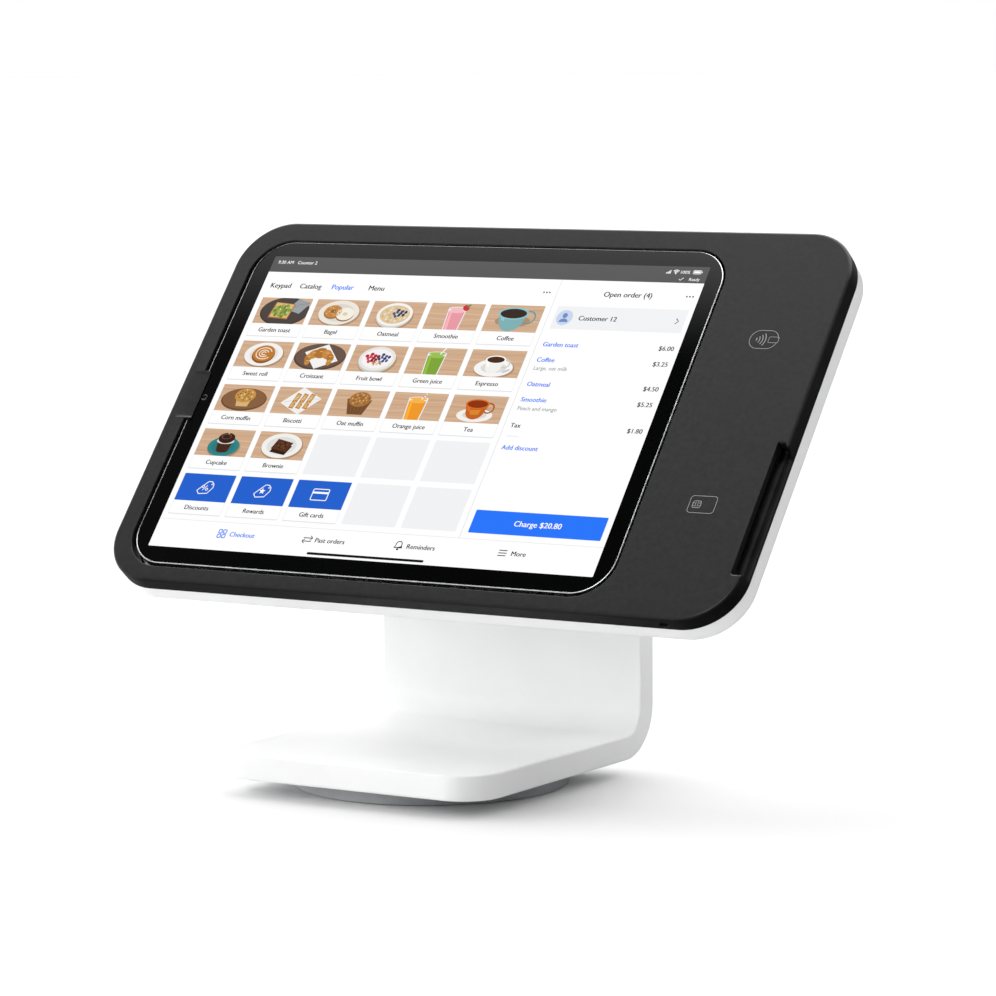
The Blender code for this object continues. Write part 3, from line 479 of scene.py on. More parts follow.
def build_bottom_cover():
    cover = block("bottom_cover_panel", *world_box("bottom_cover"), 11.7, back=0.4, steps=10, fillet_steps=3)
    cuts = [rod("centre_hole", 12.0, (0, 0, 0), (0, 0, 20), steps=72)]
    cuts += rods("hole", SCREW_HOLE, BASE_SCREWS, 0, 20) + rods("sink", SCREW_SINK, BASE_SCREWS, 0, 8.4)
    piece(carve(cover, cuts), "stand", ["bottom_cover"], "pale_grey_cover")


# ---- head shells

FRAME_LOW, FRAME_HIGH = head_box("front_frame")
COVER_LOW, COVER_HIGH = head_box("rear_cover")
TABLET_LOW, TABLET_HIGH = head_box("tablet_housing")
GLASS_LOW, GLASS_HIGH = head_box("tablet_glass")
FRAME_CORNER, TABLET_CORNER = 25.0, 18.0
FACE_ROUND, BACK_ROUND, SEAM_ROUND = 1.55, 4.58, 0.3
WINDOW_LOW, WINDOW_HIGH, WINDOW_CORNER, WINDOW_ROUND = (-125.05, -91.4), (125.3, 88.65), 18.9, 0.22
SCOOP_U, SCOOP_LOW_V, SCOOP_HIGH_V = 178.9, -74.5, -9.6
LIP_U, LIP_W, LIP_SLOPE, GROOVE_RADIUS = 182.7, -5.0, 5.3, 2.4
SCOOP_ROUND_U, SCOOP_ROUND_V, LIP_ROUND = 0.3, 1.2, 0.9
SLOT_V, SLOT_HALF, SLOT_LOW_W, SLOT_HIGH_W = -42.4, 28.0, -3.1, -1.3
LATCH_U, LATCH_W = 154.0, -3.2
RELEASE_HALF_WIDTH, RELEASE_HALF_HEIGHT = 2.0, 1.35
NOTCH_V, NOTCH_HALF = 0.8, 13.2
HEAD_SCREWS = [(u, v) for u in (-112, 162) for v in (-80, 80)]
HINGE_U = -HEAD.translation[0] / MM
HINGE_LOW, HINGE_HIGH = head_box("tilt_shaft")
HINGE_V, HINGE_W = (HINGE_LOW[1] + HINGE_HIGH[1]) / 2, (HINGE_LOW[2] + HINGE_HIGH[2]) / 2
FINE = 28


def ring_at(low, high, corner):
    """A function that gives a rounded rectangle's loop, shrunk by an inset, at a height w."""
    return lambda inset, w: at_height(grown(low, high, corner, -inset, FINE), w)


window_ring = ring_at(WINDOW_LOW, WINDOW_HIGH, WINDOW_CORNER)


def frame_shell():
    """The frame as a ring from its outer wall, over its rounded rim, to the tablet's window."""
    outer = ring_at(FRAME_LOW, FRAME_HIGH, FRAME_CORNER)
    low_w = FRAME_LOW[2]
    inner = lambda inset, w: window_ring(-inset, w)
    loops = rim_up(outer, low_w, SEAM_ROUND, 3) + rim_over(outer, FACE_W, FACE_ROUND, 8)
    loops += rim_over(inner, FACE_W, WINDOW_ROUND, 4)[::-1] + [inner(0, low_w)]
    return lofted("front_frame_body", loops, HEAD, ring=True)


def frame_cavity():
    """The hollow behind the face, around the tablet's window and the scoop."""
    inset = Vector((WALL, WALL, 0))
    low, high = FRAME_LOW + inset, FRAME_HIGH - inset
    low[2], high[2] = -30, FACE_W - WALL
    cavity = block("frame_cavity", low, high, FRAME_CORNER - WALL, HEAD, steps=FINE)
    around_window = lofted("around_window", [window_ring(-1.6, w) for w in (-40, 30)], HEAD)
    low, high = (SCOOP_U - WALL, SCOOP_LOW_V - WALL, -40), (200, SCOOP_HIGH_V + WALL, 30)
    return carve(cavity, [around_window, block("around_scoop", low, high, place=HEAD)])


def scoop_groove():
    """The ledge beside the slot: rounded into its inner wall, and flared at its mouth to round the edges."""

    def loop(inset_u, inset_v, w):
        low, high = (SCOOP_U + inset_u, SCOOP_LOW_V + inset_v), (LIP_U, SCOOP_HIGH_V - inset_v)
        return at_height(rounded_rect(low, high, 0.35 + max(-inset_v, 0), 5), w)

    loops = [loop(GROOVE_RADIUS * d, 0.8 * d, LIP_W + GROOVE_RADIUS * i) for i, d in quarter(8)]
    for out, rise in quarter(6):
        loops.append(loop(-SCOOP_ROUND_U * out, -SCOOP_ROUND_V * out, FACE_W - SCOOP_ROUND_V * rise))
    loops.append(loop(-SCOOP_ROUND_U, -SCOOP_ROUND_V, FACE_W + PAST))
    return lofted("scoop_groove", loops, HEAD)


def lip_floor():
    """The lowered wall's height along the head, as (v, w): a rounded lower end, then an eased slope up."""
    end = lambda inset, w: (SCOOP_LOW_V - inset, w)
    floor = rim_over(end, FACE_W, SCOOP_ROUND_V, 6)[::-1] + [(SCOOP_LOW_V + 0.001, LIP_W)]
    steps = 14
    for i in range(steps + 1):
        share = 1 - i / steps
        ease = (1 - math.cos(math.pi * share)) / 2
        floor.append((SCOOP_HIGH_V - LIP_SLOPE * share, FACE_W + 0.01 + (LIP_W - FACE_W - 0.01) * ease))
    return floor


def scoop_lip():
    """What is cut from the wall outside the groove, which leaves its new rim rounded on the outside."""
    wall_u, inner_u, top_w = FRAME_HIGH[0], LIP_U - GAP, FACE_W + PAST
    wall = lambda inset, height: (wall_u - inset, height)
    loops = []
    for v, w in lip_floor():
        section = [(inner_u, w)] + rim_over(wall, w, LIP_ROUND, 5)[::-1]
        section += [(wall_u + PAST, w - LIP_ROUND), (wall_u + PAST, top_w), (inner_u, top_w)]
        loops.append([(u, v, height) for u, height in section])
    return lofted("scoop_lip", loops, HEAD)


def notch_lip():
    """The lip that holds the tablet's left edge, before its slope is cut."""
    low, high = (-126.2, NOTCH_V - NOTCH_HALF, 0.5), (-121.8, NOTCH_V + NOTCH_HALF, FACE_W)
    return block("notch_lip", low, high, 0.9, HEAD, front=0.25, steps=5, fillet_steps=3)


def notch_slope():
    """The wedge that leaves the lip's two facets, running out at both ends."""
    facets = [(-130.2, 0.0), (-124.2, 0.55), (-121.9, 0.80), (-120.5, 0.84)]
    low_v, high_v, runout = NOTCH_V - NOTCH_HALF + 0.5, NOTCH_V + NOTCH_HALF - 0.5, 1.6
    stations = [(low_v + runout * i, 1 - d) for i, d in quarter(6)]
    stations += [(high_v - runout * i, 1 - d) for i, d in reversed(quarter(6))]
    loops = []
    for v, share in stations:
        section = [(u, FACE_W + 0.01 - depth * share) for u, depth in facets]
        section += [(facets[-1][0], FACE_W + 3), (facets[0][0], FACE_W + 3)]
        loops.append([(u, v, w) for u, w in section])
    return lofted("notch_slope", loops, HEAD)


def release_cutter():
    """The small rounded opening in the bottom wall, over the release latch."""
    wall_v, flare = FRAME_LOW[1], 0.25
    loops = []
    for v, growth in ((wall_v - 4, flare), (wall_v - 0.01, flare), (wall_v + flare, 0.0), (wall_v + 4, 0.0)):
        size = (RELEASE_HALF_WIDTH + growth, RELEASE_HALF_HEIGHT + growth)
        outline = rounded_rect((-size[0], -size[1]), size, size[1] - 0.02, 8)
        loops.append([(LATCH_U + a, v, LATCH_W + b) for a, b in outline])
    return lofted("release_hole", loops, HEAD)


def paint_wall_shade(shell):
    """Paints shade on the frame. Its outer wall takes a matt black, whose darkness beyond the face's charcoal is
    painted shade, and the scoop's floor and inner wall a smoother, still darker black, painted shade for the
    groove.
    """
    darkest, dark, soft = (0.0010, 0.0010, 0.0011), (0.0030, 0.0030, 0.0032), (0.0060, 0.0060, 0.0063)
    # Painted shade: both blacks are darker and less glossy than the frame's own charcoal, the groove's the darkest
    for black in (
        surface("scoop_painted_shade", darkest, dark, (0.30, 0.40), 80, 900, 0.004, specular=0.22),
        surface("wall_painted_shade", dark, soft, (0.56, 0.64), 80, 1800, 0.008, specular=0.25),
    ):
        shell.data.materials.append(black)
    scoop_painted_shade, wall_painted_shade = 1, 2
    to_head = HEAD.inverted()
    for polygon in shell.data.polygons:
        u, v, w = to_head @ polygon.center / MM
        across_scoop = SCOOP_U + 0.05 < u < FRAME_HIGH[0] - 0.4 and SCOOP_LOW_V < v < SCOOP_HIGH_V
        if across_scoop and LIP_W - 0.1 < w < FACE_W - 0.9:
            polygon.material_index = scoop_painted_shade
        elif abs((to_head.to_3x3() @ polygon.normal).z) < 0.45 and not inside_wall(u, v):
            polygon.material_index = wall_painted_shade


def inside_wall(u, v):
    """Whether a place on the frame is at the tablet's window or in the cavity, not on the outer wall."""
    low, high = FRAME_LOW, FRAME_HIGH
    u_out = max(low[0] + FRAME_CORNER - u, u - high[0] + FRAME_CORNER, 0)
    v_out = max(low[1] + FRAME_CORNER - v, v - high[1] + FRAME_CORNER, 0)
    return math.hypot(u_out, v_out) < FRAME_CORNER - 1.9


def build_front_frame():
    shell = carve(frame_shell(), [frame_cavity()])
    carve(shell, [notch_lip()], "UNION")
    slot_low = (SCOOP_U - 2 * WALL, SLOT_V - SLOT_HALF, SLOT_LOW_W)
    slot = block("slot", slot_low, (SCOOP_U + 1, SLOT_V + SLOT_HALF, SLOT_HIGH_W), place=HEAD)
    plug_window = block("plug_window", (124, -7.6, -5.9), (127.5, 7.6, -0.7), place=HEAD)
    carve(shell, [notch_slope(), scoop_groove(), scoop_lip(), slot, plug_window, release_cutter()])
    piece(shell, "head", ["front_frame"], "charcoal_frame", sharp_deg=38)
    # Painted shade on the frame's side walls and in the scoop
    paint_wall_shade(shell)


def cover_loops(inset, low_w, back_round, high_w, front_round=0.0):
    outline = lambda i, w: at_height(grown(COVER_LOW, COVER_HIGH, FRAME_CORNER - GAP, -inset - i, FINE), w)
    front = rim_over(outline, high_w, front_round, 3) if front_round else [outline(0, high_w)]
    return rim_up(outline, low_w, back_round, 9) + front


def build_rear_cover():
    low_w, high_w = COVER_LOW[2], COVER_HIGH[2]
    floor_w, past_w = low_w + WALL, low_w - PAST
    cover = lofted("rear_cover_body", cover_loops(0, low_w, BACK_ROUND, high_w, SEAM_ROUND), HEAD)
    carve(cover, [lofted("cover_hollow", cover_loops(WALL, floor_w, BACK_ROUND - 1.9, 10), HEAD)])
    carve(cover, rods("boss", 4.5, HEAD_SCREWS, floor_w - 1, -10.6, HEAD, 32), "UNION")
    cuts = rods("hole", SCREW_HOLE, HEAD_SCREWS, past_w, 0, HEAD, 32)
    cuts += rods("sink", SCREW_SINK, HEAD_SCREWS, past_w, low_w + 2.0, HEAD, 40)
    for side in (-1, 1):
        middle, half_height = HINGE_U + side * 46.5, 7.6
        low, high = (middle - 2, HINGE_V - half_height, -25), (middle + 2, HINGE_V + half_height, -10)
        cuts.append(block("ear_slot", low, high, 0.8, HEAD, steps=4))
    piece(carve(cover, cuts), "head", ["rear_cover"], "white_shell")


def pod_loops(radius, near_w, far_u, toward, rounding):
    """A half-round cover about the hinge axis: sections from its open side to its rounded end."""

    def section(inset, u):
        outline = [(HINGE_V + radius - inset, near_w), (HINGE_V - radius + inset, near_w)]
        return [(u, a, b) for a, b in outline + arc((HINGE_V, HINGE_W), radius - inset, 180, 360, 36)]

    loops = [section(0, far_u[0])]
    return loops + [section(rounding * i, far_u[1] - toward * rounding * d) for i, d in quarter(6)]


def build_pods():
    for side, word in ((-1, "left"), (1, "right")):
        near, far = HINGE_U + 44.2 * side, HINGE_U + 55.0 * side
        near_w = COVER_LOW[2] - GAP
        pod = lofted(f"hinge_pod_{word}", pod_loops(8.97, near_w, (near, far), side, 1.4), HEAD)
        hollow_ends = (near - PAST * side, far - 1.7 * side)
        carve(pod, [lofted("pod_hollow", pod_loops(7.4, near_w + PAST * 4, hollow_ends, side, 0.2), HEAD)])
        piece(pod, "head", [f"hinge_cover_{word}"], "white_shell")


# ---- tablet

TRAY_WALL, RIM_ROUND, RIM_WIDTH, RIM_W = 0.8, 0.42, 0.6, 0.5
TRAY_ROUND = 1.2
BUTTON_LOW_W, BUTTON_HIGH_W = -3.9, -1.9
rim_ring = ring_at((-123.95, -89.15), (123.6, 88.55), TABLET_CORNER)


def build_tray():
    """The tablet's metal tray, with a polished and rounded rim around the glass."""
    low_w, high_w = TABLET_LOW[2], TABLET_HIGH[2]
    loops = rim_up(rim_ring, low_w, TRAY_ROUND, 5) + rim_over(rim_ring, RIM_W, RIM_ROUND, 6)
    loops += [rim_ring(RIM_WIDTH - 0.08, RIM_W), rim_ring(RIM_WIDTH, RIM_W - 0.08)]
    loops += [rim_ring(RIM_WIDTH, high_w), rim_ring(TRAY_WALL, high_w), rim_ring(TRAY_WALL, low_w + 0.7)]
    cuts = [
        block("port", (118, -4.7, -4.6), (126, 4.7, -1.3), 0.3, HEAD),
        block("power_hole", (-126, 64.7, BUTTON_LOW_W), (-120, 75.3, BUTTON_HIGH_W), place=HEAD),
    ]
    for u in (-95.0, -81.0):
        low, high = (u - 5.3, 86, BUTTON_LOW_W), (u + 5.3, 92, BUTTON_HIGH_W)
        cuts.append(block("volume_hole", low, high, place=HEAD))
    tray = carve(lofted("tablet_tray", loops, HEAD), cuts)
    piece(tray, "head", ["tablet_housing"], "aluminium", sharp_deg=25)


def build_glass():
    """The glass sheet: a body in the tray, and a thin edge that covers the tray's rim up to its bevel."""
    rim_w, edge, inset = TABLET_HIGH[2] + 0.01, 0.05, RIM_WIDTH + 0.01
    loops = [rim_ring(1.1, GLASS_LOW[2]), rim_ring(1.1, rim_w), rim_ring(inset, rim_w)]
    loops += [rim_ring(inset + edge * i, GLASS_HIGH[2] - edge * d) for i, d in quarter(4)]
    piece(lofted("tablet_glass_sheet", loops, HEAD), "head", ["tablet_glass"], "glass_black")


def build_camera_window():
    """The front camera's lens in its black border, with a fine ring about it."""
    place = HEAD @ Matrix.Translation(Vector((-120.0, 0.0, 0.0)) * MM)
    top = GLASS_HIGH[2]
    bowed = [(0.0, 0.02), (0.7, 0.035), (1.15, 0.02), (1.3, 0.06), (1.5, 0.06), (1.65, 0.01)]
    profile = [(radius, top + rise) for radius, rise in bowed] + [(1.65, -0.5), (0.0, -0.5)]
    lens = turned("camera_window", profile, 48, place)
    dark, light = (0.001, 0.001, 0.002), (0.003, 0.003, 0.005)
    black = surface("lens_black", dark, light, (0.02, 0.05), 900, 600, 0.0002)
    piece(lens, "head", ["front_camera"], "black_plastic", black)


def build_spring():
    """The latch's coil spring, built as one fixed coil; the real spring shortens as the latch slides."""
    low, high = head_box("latch_spring")
    middle, length = (low + high) / 2, high[1] - low[1]
    wire, turns, per_turn, end = 0.25, 5, 24, 0.1
    coil = (high[0] - low[0]) / 2 - wire
    points = []
    for i in range(turns * per_turn + 1):
        angle = 2 * math.pi * i / per_turn
        v = low[1] + end + (length - 2 * end) * i / (turns * per_turn)
        points.append((middle[0] + coil * math.cos(angle), v, middle[2] + coil * math.sin(angle)))
    spring = tube("latch_spring_coil", points, wire * 0.96, 10, HEAD)
    piece(spring, "head", ["latch_spring"], "steel")
    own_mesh(spring)


# ---- marks on the face


def band(points, width):
    """A line of even width through the points, as one outline."""
    left, right = [], []
    for i, point in enumerate(points):
        before, after = Vector(points[max(i - 1, 0)]), Vector(points[min(i + 1, len(points) - 1)])
        along = (after - before).normalized()
        side = Vector((-along[1], along[0])) * width / 2
        left.append(tuple(Vector(point) + side))
        right.append(tuple(Vector(point) - side))
    return right + left[::-1]


def loop_band(outline, width):
    """A closed line of even width, as two halves that meet."""
    half = len(outline) // 2
    closed = outline + outline[:1]
    return [band(closed[: half + 1], width), band(closed[half:], width)]


def tap_mark():
    """Four arcs that grow towards a small card, in an open badge: tap a card here."""
    u, v = 154.6, 42.2
    badge = grown((u - 6.9, v - 4.7), (u + 6.6, v + 4.7), 4.6, 0, 12)
    shapes = [band(badge[1:-2], 0.22)]
    shapes += [band(arc((u - 5.0, v), radius, -33, 33, 14), 0.34) for radius in (1.5, 2.9, 4.3, 5.7)]
    return shapes + loop_band(rounded_rect((u + 2.2, v - 1.5), (u + 6.9, v + 1.5), 0.5, 4), 0.2)


def card_mark():
    """The outline of a card with its chip and the chip's contacts, beside the slot."""
    shapes = loop_band(rounded_rect((148.0, -46.4), (160.5, -38.0), 1.5, 6), 0.22)
    low, high = (149.7, -43.9), (153.5, -40.6)
    shapes += loop_band(rounded_rect(low, high, 0.8, 4), 0.26)
    u, v = (low[0] + high[0]) / 2, (low[1] + high[1]) / 2
    for side in (-1, 1):
        near, far = u + side * 0.5, u + side * 1.8
        shapes += [band([(near, v + up), (far, v + up)], 0.2) for up in (-0.65, 0.65)]
        shapes.append(band([(near, v - 1.2), (near, v + 1.2)], 0.18))
    return shapes


def build_marks():
    """Both marks, as flat solids that stand just above the face."""
    ink = surface("mark_ink", (0.30, 0.30, 0.31), (0.34, 0.34, 0.35), (0.45, 0.55), 300, 1200, 0.004)
    top_w, depth = FACE_W + 0.012, 0.3
    for name, shapes in (("tap_mark", tap_mark()), ("card_mark", card_mark())):
        bm = bmesh.new()
        for outline in shapes:
            loft(bm, [at_height(outline, top_w - depth), at_height(outline, top_w)])
        piece(new_object(name, bm, HEAD), "head", [], "charcoal_frame", ink)


# ---- screen

DISPLAY_U, DISPLAY_V = 114.9, 80.25
LAYER, LAYER_DEPTH = 0.012, 0.04
FIRST_LAYER_W = GLASS_HIGH[2] + 0.01
LETTER_HALF_DEPTH = 0.02
WHITE, INK, GREY, PALE, BLUE, STATUS = "ffffff", "202124", "7d8289", "f1f2f4", "2a76f5", "535353"
TEXT_CAP, PLAIN, BOLD, LESS_BOLD = 2.3, 0.0, 0.03, 0.028


def letters_mesh(words, size, align="LEFT"):
    curve = bpy.data.curves.new("letters", "FONT")
    curve.body, curve.size, curve.align_x = words, size, align
    curve.resolution_u, curve.extrude = 3, LETTER_HALF_DEPTH * MM
    text = linked(bpy.data.objects.new("letters", curve))
    graph = bpy.context.evaluated_depsgraph_get()
    mesh = bpy.data.meshes.new_from_object(text.evaluated_get(graph))
    bpy.data.objects.remove(text, do_unlink=True)
    bpy.data.curves.remove(curve)
    return mesh


def cap_height():
    """The height of a capital letter of the built-in font at size 1."""
    mesh = letters_mesh("H", 1.0)
    heights = [vertex.co.y for vertex in mesh.vertices]
    bpy.data.meshes.remove(mesh)
    return max(heights) - min(heights)


CAP = cap_height()


def clipped(outline, low, high):
    """The part of an outline inside a box."""
    for axis, below in ((0, False), (0, True), (1, False), (1, True)):
        limit = (high if below else low)[axis]
        inside = lambda p: p[axis] <= limit if below else p[axis] >= limit
        result = []
        for i, point in enumerate(outline):
            last = outline[i - 1]
            if inside(point) != inside(last):
                share = (limit - last[axis]) / (point[axis] - last[axis])
                result.append(tuple(last[k] + share * (point[k] - last[k]) for k in (0, 1)))
            if inside(point):
                result.append(tuple(point))
        outline = result
        if len(outline) < 3:
            return []
    return outline


def without_repeats(outline):
    apart = lambda first, second: (Vector(first) - Vector(second)).length > 1e-3
    kept = []
    for point in outline:
        if not kept or apart(point, kept[-1]):
            kept.append(point)
    while len(kept) > 1 and not apart(kept[0], kept[-1]):
        kept.pop()
    return kept


class Canvas:
    """Thin lit solids laid on the glass, gathered into one mesh with a material for each colour."""

    def __init__(self, name):
        self.name, self.bm, self.colours = name, bmesh.new(), []
        self.low, self.high = (-DISPLAY_U, -DISPLAY_V), (DISPLAY_U, DISPLAY_V)
        self.origin, self.zoom = (0.0, 0.0), 1.0

    def at(self, u, v, zoom=1.0):
        """The same canvas, seen from another origin and with another unit."""
        other = copy.copy(self)
        other.origin = (self.origin[0] + self.zoom * u, self.origin[1] + self.zoom * v)
        other.zoom = self.zoom * zoom
        return other

    def colour_from(self, first_face, colour):
        if colour not in self.colours:
            self.colours.append(colour)
        self.bm.faces.ensure_lookup_table()
        for face in self.bm.faces[first_face:]:
            face.material_index = self.colours.index(colour)

    def fill(self, outline, colour, layer):
        outline = [tuple(a + self.zoom * b for a, b in zip(self.origin, point)) for point in outline]
        outline = without_repeats(clipped(outline, self.low, self.high))
        if len(outline) >= 3:
            top, first_face = FIRST_LAYER_W + layer * LAYER, len(self.bm.faces)
            loft(self.bm, [at_height(outline, top - LAYER_DEPTH), at_height(outline, top)])
            self.colour_from(first_face, colour)

    def box(self, low, high, colour, layer, radius=0.0, steps=5):
        corners = [low, (high[0], low[1]), high, (low[0], high[1])]
        self.fill(rounded_rect(low, high, radius, steps) if radius else corners, colour, layer)

    def oval(self, middle, size, colour, layer, steps=28, turn_deg=0.0):
        cos, sin = math.cos(math.radians(turn_deg)), math.sin(math.radians(turn_deg))
        (u, v), points = middle, [(a * size[0], b * size[1]) for a, b in circle(1, steps)]
        self.fill([(u + x * cos - y * sin, v + x * sin + y * cos) for x, y in points], colour, layer)

    def line(self, points, width, colour, layer):
        self.fill(band(points, width), colour, layer)

    def outline(self, points, width, colour, layer):
        for half in loop_band(points, width):
            self.fill(half, colour, layer)

    def words(self, text, place, cap, colour=INK, align="LEFT", weight=BOLD, layer=3):
        """Letters, made bolder by a second copy a little to the side."""
        first_face = len(self.bm.faces)
        for i, shift in enumerate((-weight * cap, weight * cap) if weight else (0.0,)):
            mesh = letters_mesh(text, cap / CAP * MM, align)
            height = (FIRST_LAYER_W + (layer + 0.1 * i) * LAYER - LETTER_HALF_DEPTH) * MM
            mesh.transform(Matrix.Translation(((place[0] + shift) * MM, (place[1] - cap / 2) * MM, height)))
            self.bm.from_mesh(mesh)
            bpy.data.meshes.remove(mesh)
        self.colour_from(first_face, colour)

    def finish(self, replaced=()):
        bmesh.ops.remove_doubles(self.bm, verts=self.bm.verts, dist=1e-7)
        obj = new_object(self.name, self.bm, HEAD)
        for colour in self.colours:
            obj.data.materials.append(lit(colour))
        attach(obj, "head")
        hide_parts(*replaced)


DIVIDER_U, BAR_V, NAV_V, SCREEN_CORNER = 43.3, 71.4, -65.6, 0.5


def build_background():
    c = Canvas("screen_background")
    outline = rounded_rect(c.low, c.high, SCREEN_CORNER, 4)
    c.fill(outline, STATUS, 0)
    c.fill([(-DISPLAY_U, BAR_V)] + outline[10:] + [(DISPLAY_U, BAR_V)], WHITE, 1)
    c.box((DIVIDER_U - 0.15, NAV_V), (DIVIDER_U + 0.15, BAR_V), "dcdee1", 2)
    c.box((-DISPLAY_U, NAV_V - 0.12), (DISPLAY_U, NAV_V + 0.12), "e1e3e6", 2)
    c.finish(["tablet_display"])


def dots(c, u, v):
    for shift in (-1.5, 0, 1.5):
        c.oval((u + shift, v), (0.42, 0.42), INK, 3, 14)


def build_status():
    c = Canvas("screen_status")
    c.words("9:30 AM   Counter 2", (-112, 77.0), 1.75, WHITE, weight=PLAIN)
    for i in range(4):
        c.box((94.0 + 0.62 * i, 76.3), (94.4 + 0.62 * i, 76.8 + 0.45 * i), WHITE, 3)
    for radius in (0.75, 1.45, 2.15):
        c.line(arc((98.9, 76.1), radius, 48, 132, 10), 0.36, WHITE, 3)
    c.oval((98.9, 76.3), (0.3, 0.3), WHITE, 3, 12)
    c.words("100%", (106.0, 77.2), 1.6, WHITE, "RIGHT", PLAIN)
    c.outline(rounded_rect((107.4, 76.4), (111.4, 78.3), 0.5, 4), 0.22, WHITE, 3)
    c.box((107.8, 76.8), (111.0, 77.9), WHITE, 3, 0.2, 3)
    c.box((111.7, 77.0), (112.0, 77.7), WHITE, 3)
    c.line([(101.6, 73.5), (102.3, 72.8), (103.7, 74.2)], 0.3, WHITE, 3)
    c.words("Ready", (111.9, 73.4), 1.5, WHITE, "RIGHT", PLAIN)
    c.finish()


def build_tabs():
    c = Canvas("screen_tabs")
    for text, left in (("Keypad", -110.6), ("Catalog", -94.2), ("Popular", -76.6), ("Menu", -56.4)):
        c.words(text, (left, 63.8), 2.65, BLUE if text == "Popular" else INK)
    dots(c, 38.0, 64.3)
    c.words("Open order (4)", (79.5, 64.2), 2.65, INK, "CENTER")
    dots(c, 110.3, 64.2)
    c.finish()


def build_nav():
    """The row of buttons along the bottom: four squares, two arrows, a bell and three lines."""
    canvas = Canvas("screen_nav")
    v, stroke = -71.6, 0.42
    c = canvas.at(0, v)
    for u in (-79.5, -77.1):
        for up in (-1.2, 1.2):
            c.outline(rounded_rect((u - 0.85, up - 0.85), (u + 0.85, up + 0.85), 0.3, 3), 0.45, BLUE, 3)
    canvas.words("Checkout", (-74.2, v), TEXT_CAP, BLUE, weight=LESS_BOLD)
    for side, tip in ((-1, -35.1), (1, -30.1)):
        up, back = 0.85 * side, tip - side * 1.2
        c.line([(-34.8, up), (-30.4, up)], stroke, INK, 3)
        c.line([(back, up + 1.1), (tip, up), (back, up - 1.1)], stroke, INK, 3)
    canvas.words("Past orders", (-28.6, v), TEXT_CAP, weight=LESS_BOLD)
    bell = [(-2.1, -1.3), (-1.45, -0.5), (-1.45, 0.5)] + arc((0, 0.5), 1.45, 180, 0, 10)
    bell += [(1.45, -0.5), (2.1, -1.3)]
    c.at(14.9, 0.35).outline(bell, stroke, INK, 3)
    c.oval((14.9, -1.75), (0.62, 0.5), INK, 3, 12)
    canvas.words("Reminders", (19.0, v), TEXT_CAP, weight=LESS_BOLD)
    for up in (-1.3, 0, 1.3):
        c.box((65.4, up - 0.21), (69.5, up + 0.21), INK, 3)
    canvas.words("More", (71.7, v), TEXT_CAP, weight=LESS_BOLD)
    canvas.box((-30.0, -79.15), (30.4, -77.9), "111111", 3, 0.6)
    canvas.finish()


SMALL_CAP = 1.95
ITEMS = [
    (36.5, "Garden toast", "$6.00", BLUE),
    (28.2, "Coffee", "$3.25", BLUE),
    (23.7, "Large, oat milk", "", GREY),
    (15.2, "Oatmeal", "$4.50", BLUE),
    (7.0, "Smoothie", "$5.25", BLUE),
    (2.3, "Peach and mango", "", GREY),
    (-6.7, "Tax", "$1.80", INK),
]


def build_sale():
    c = Canvas("screen_sale")
    left = 46.5
    c.box((left, 44.8), (112.5, 57.2), PALE, 2, 0.5, 4)
    c.oval((52.0, 51.0), (4.1, 4.1), "c9d6ee", 3, 40)
    c.oval((52.0, 52.1), (1.25, 1.35), "6e8cc4", 4)
    c.fill([(52 + a * 2.3, 48.6 + b * 1.9) for a, b in arc((0, 0), 1, 0, 180, 16)], "6e8cc4", 4)
    c.words("Customer 12", (59.2, 51.0), 2.45)
    c.line([(107.9, 52.4), (109.3, 51.0), (107.9, 49.6)], 0.42, INK, 3)
    for v, name, price, colour in ITEMS:
        if price:
            c.words(name, (left, v), TEXT_CAP, colour)
            c.words(price, (112.3, v), TEXT_CAP, "43474c", "RIGHT")
        else:
            c.words(name, (left, v), SMALL_CAP, colour, weight=PLAIN)
    c.box((left, -12.5), (52.6, -12.25), "d8dade", 3)
    c.words("Add discount", (left, -18.3), TEXT_CAP, BLUE)
    c.box((left, -62.5), (112.0, -50.8), "2976fb", 3, 0.5, 4)
    c.words("Charge $20.80", (79.3, -56.65), 2.7, WHITE, "CENTER", 0.025, 4)
    c.finish()


# ---- the screen's pictures, each drawn about its own middle

WOOD, WOOD_DARK, WOOD_PALE, SHADOW = "d0ac8c", "c8a180", "d8b798", "b08c6c"


def shade_of(colour, factor):
    return "".join(f"{min(255, max(0, round(int(colour[i : i + 2], 16) * factor))):02x}" for i in (0, 2, 4))


def wood(c, low, high, seed):
    """A plank table: a few darker and paler lines of grain on tan."""
    c.box(low, high, WOOD, 3)
    width, height, lines, bends = high[0] - low[0], high[1] - low[1], 7, 8
    for i in range(lines):
        v = low[1] + (i + 0.5 + 0.3 * math.sin(seed + 2.1 * i)) * height / lines
        sway = [0.25 * math.sin(seed * 1.7 + i + k * 0.9) for k in range(bends + 1)]
        grain = [(low[0] + k * width / bends, v + rise) for k, rise in enumerate(sway)]
        c.line(grain, 0.28 + 0.2 * ((i * 5 + seed) % 3), WOOD_DARK if i % 2 else WOOD_PALE, 3.25)


def plate(c, radius, colour):
    tall = radius * 0.62
    c.oval((0.35, -0.5), (radius * 1.04, tall * 1.06), SHADOW, 3.5, 40)
    c.oval((0, 0), (radius, tall), colour, 4, 40)
    c.oval((0, 0), (radius * 0.74, tall * 0.72), shade_of(colour, 0.93), 4.5, 36)


def crumbs(c, middle, size, count, radius, colours, layer):
    """Small pieces scattered evenly over an oval."""
    for i in range(count):
        angle, far = i * 2.39996, math.sqrt((i + 0.5) / count)
        place = (middle[0] + size[0] * far * math.cos(angle), middle[1] + size[1] * far * math.sin(angle))
        c.oval(place, (radius, radius * 0.8), colours[i % len(colours)], layer, 10, angle * 50)


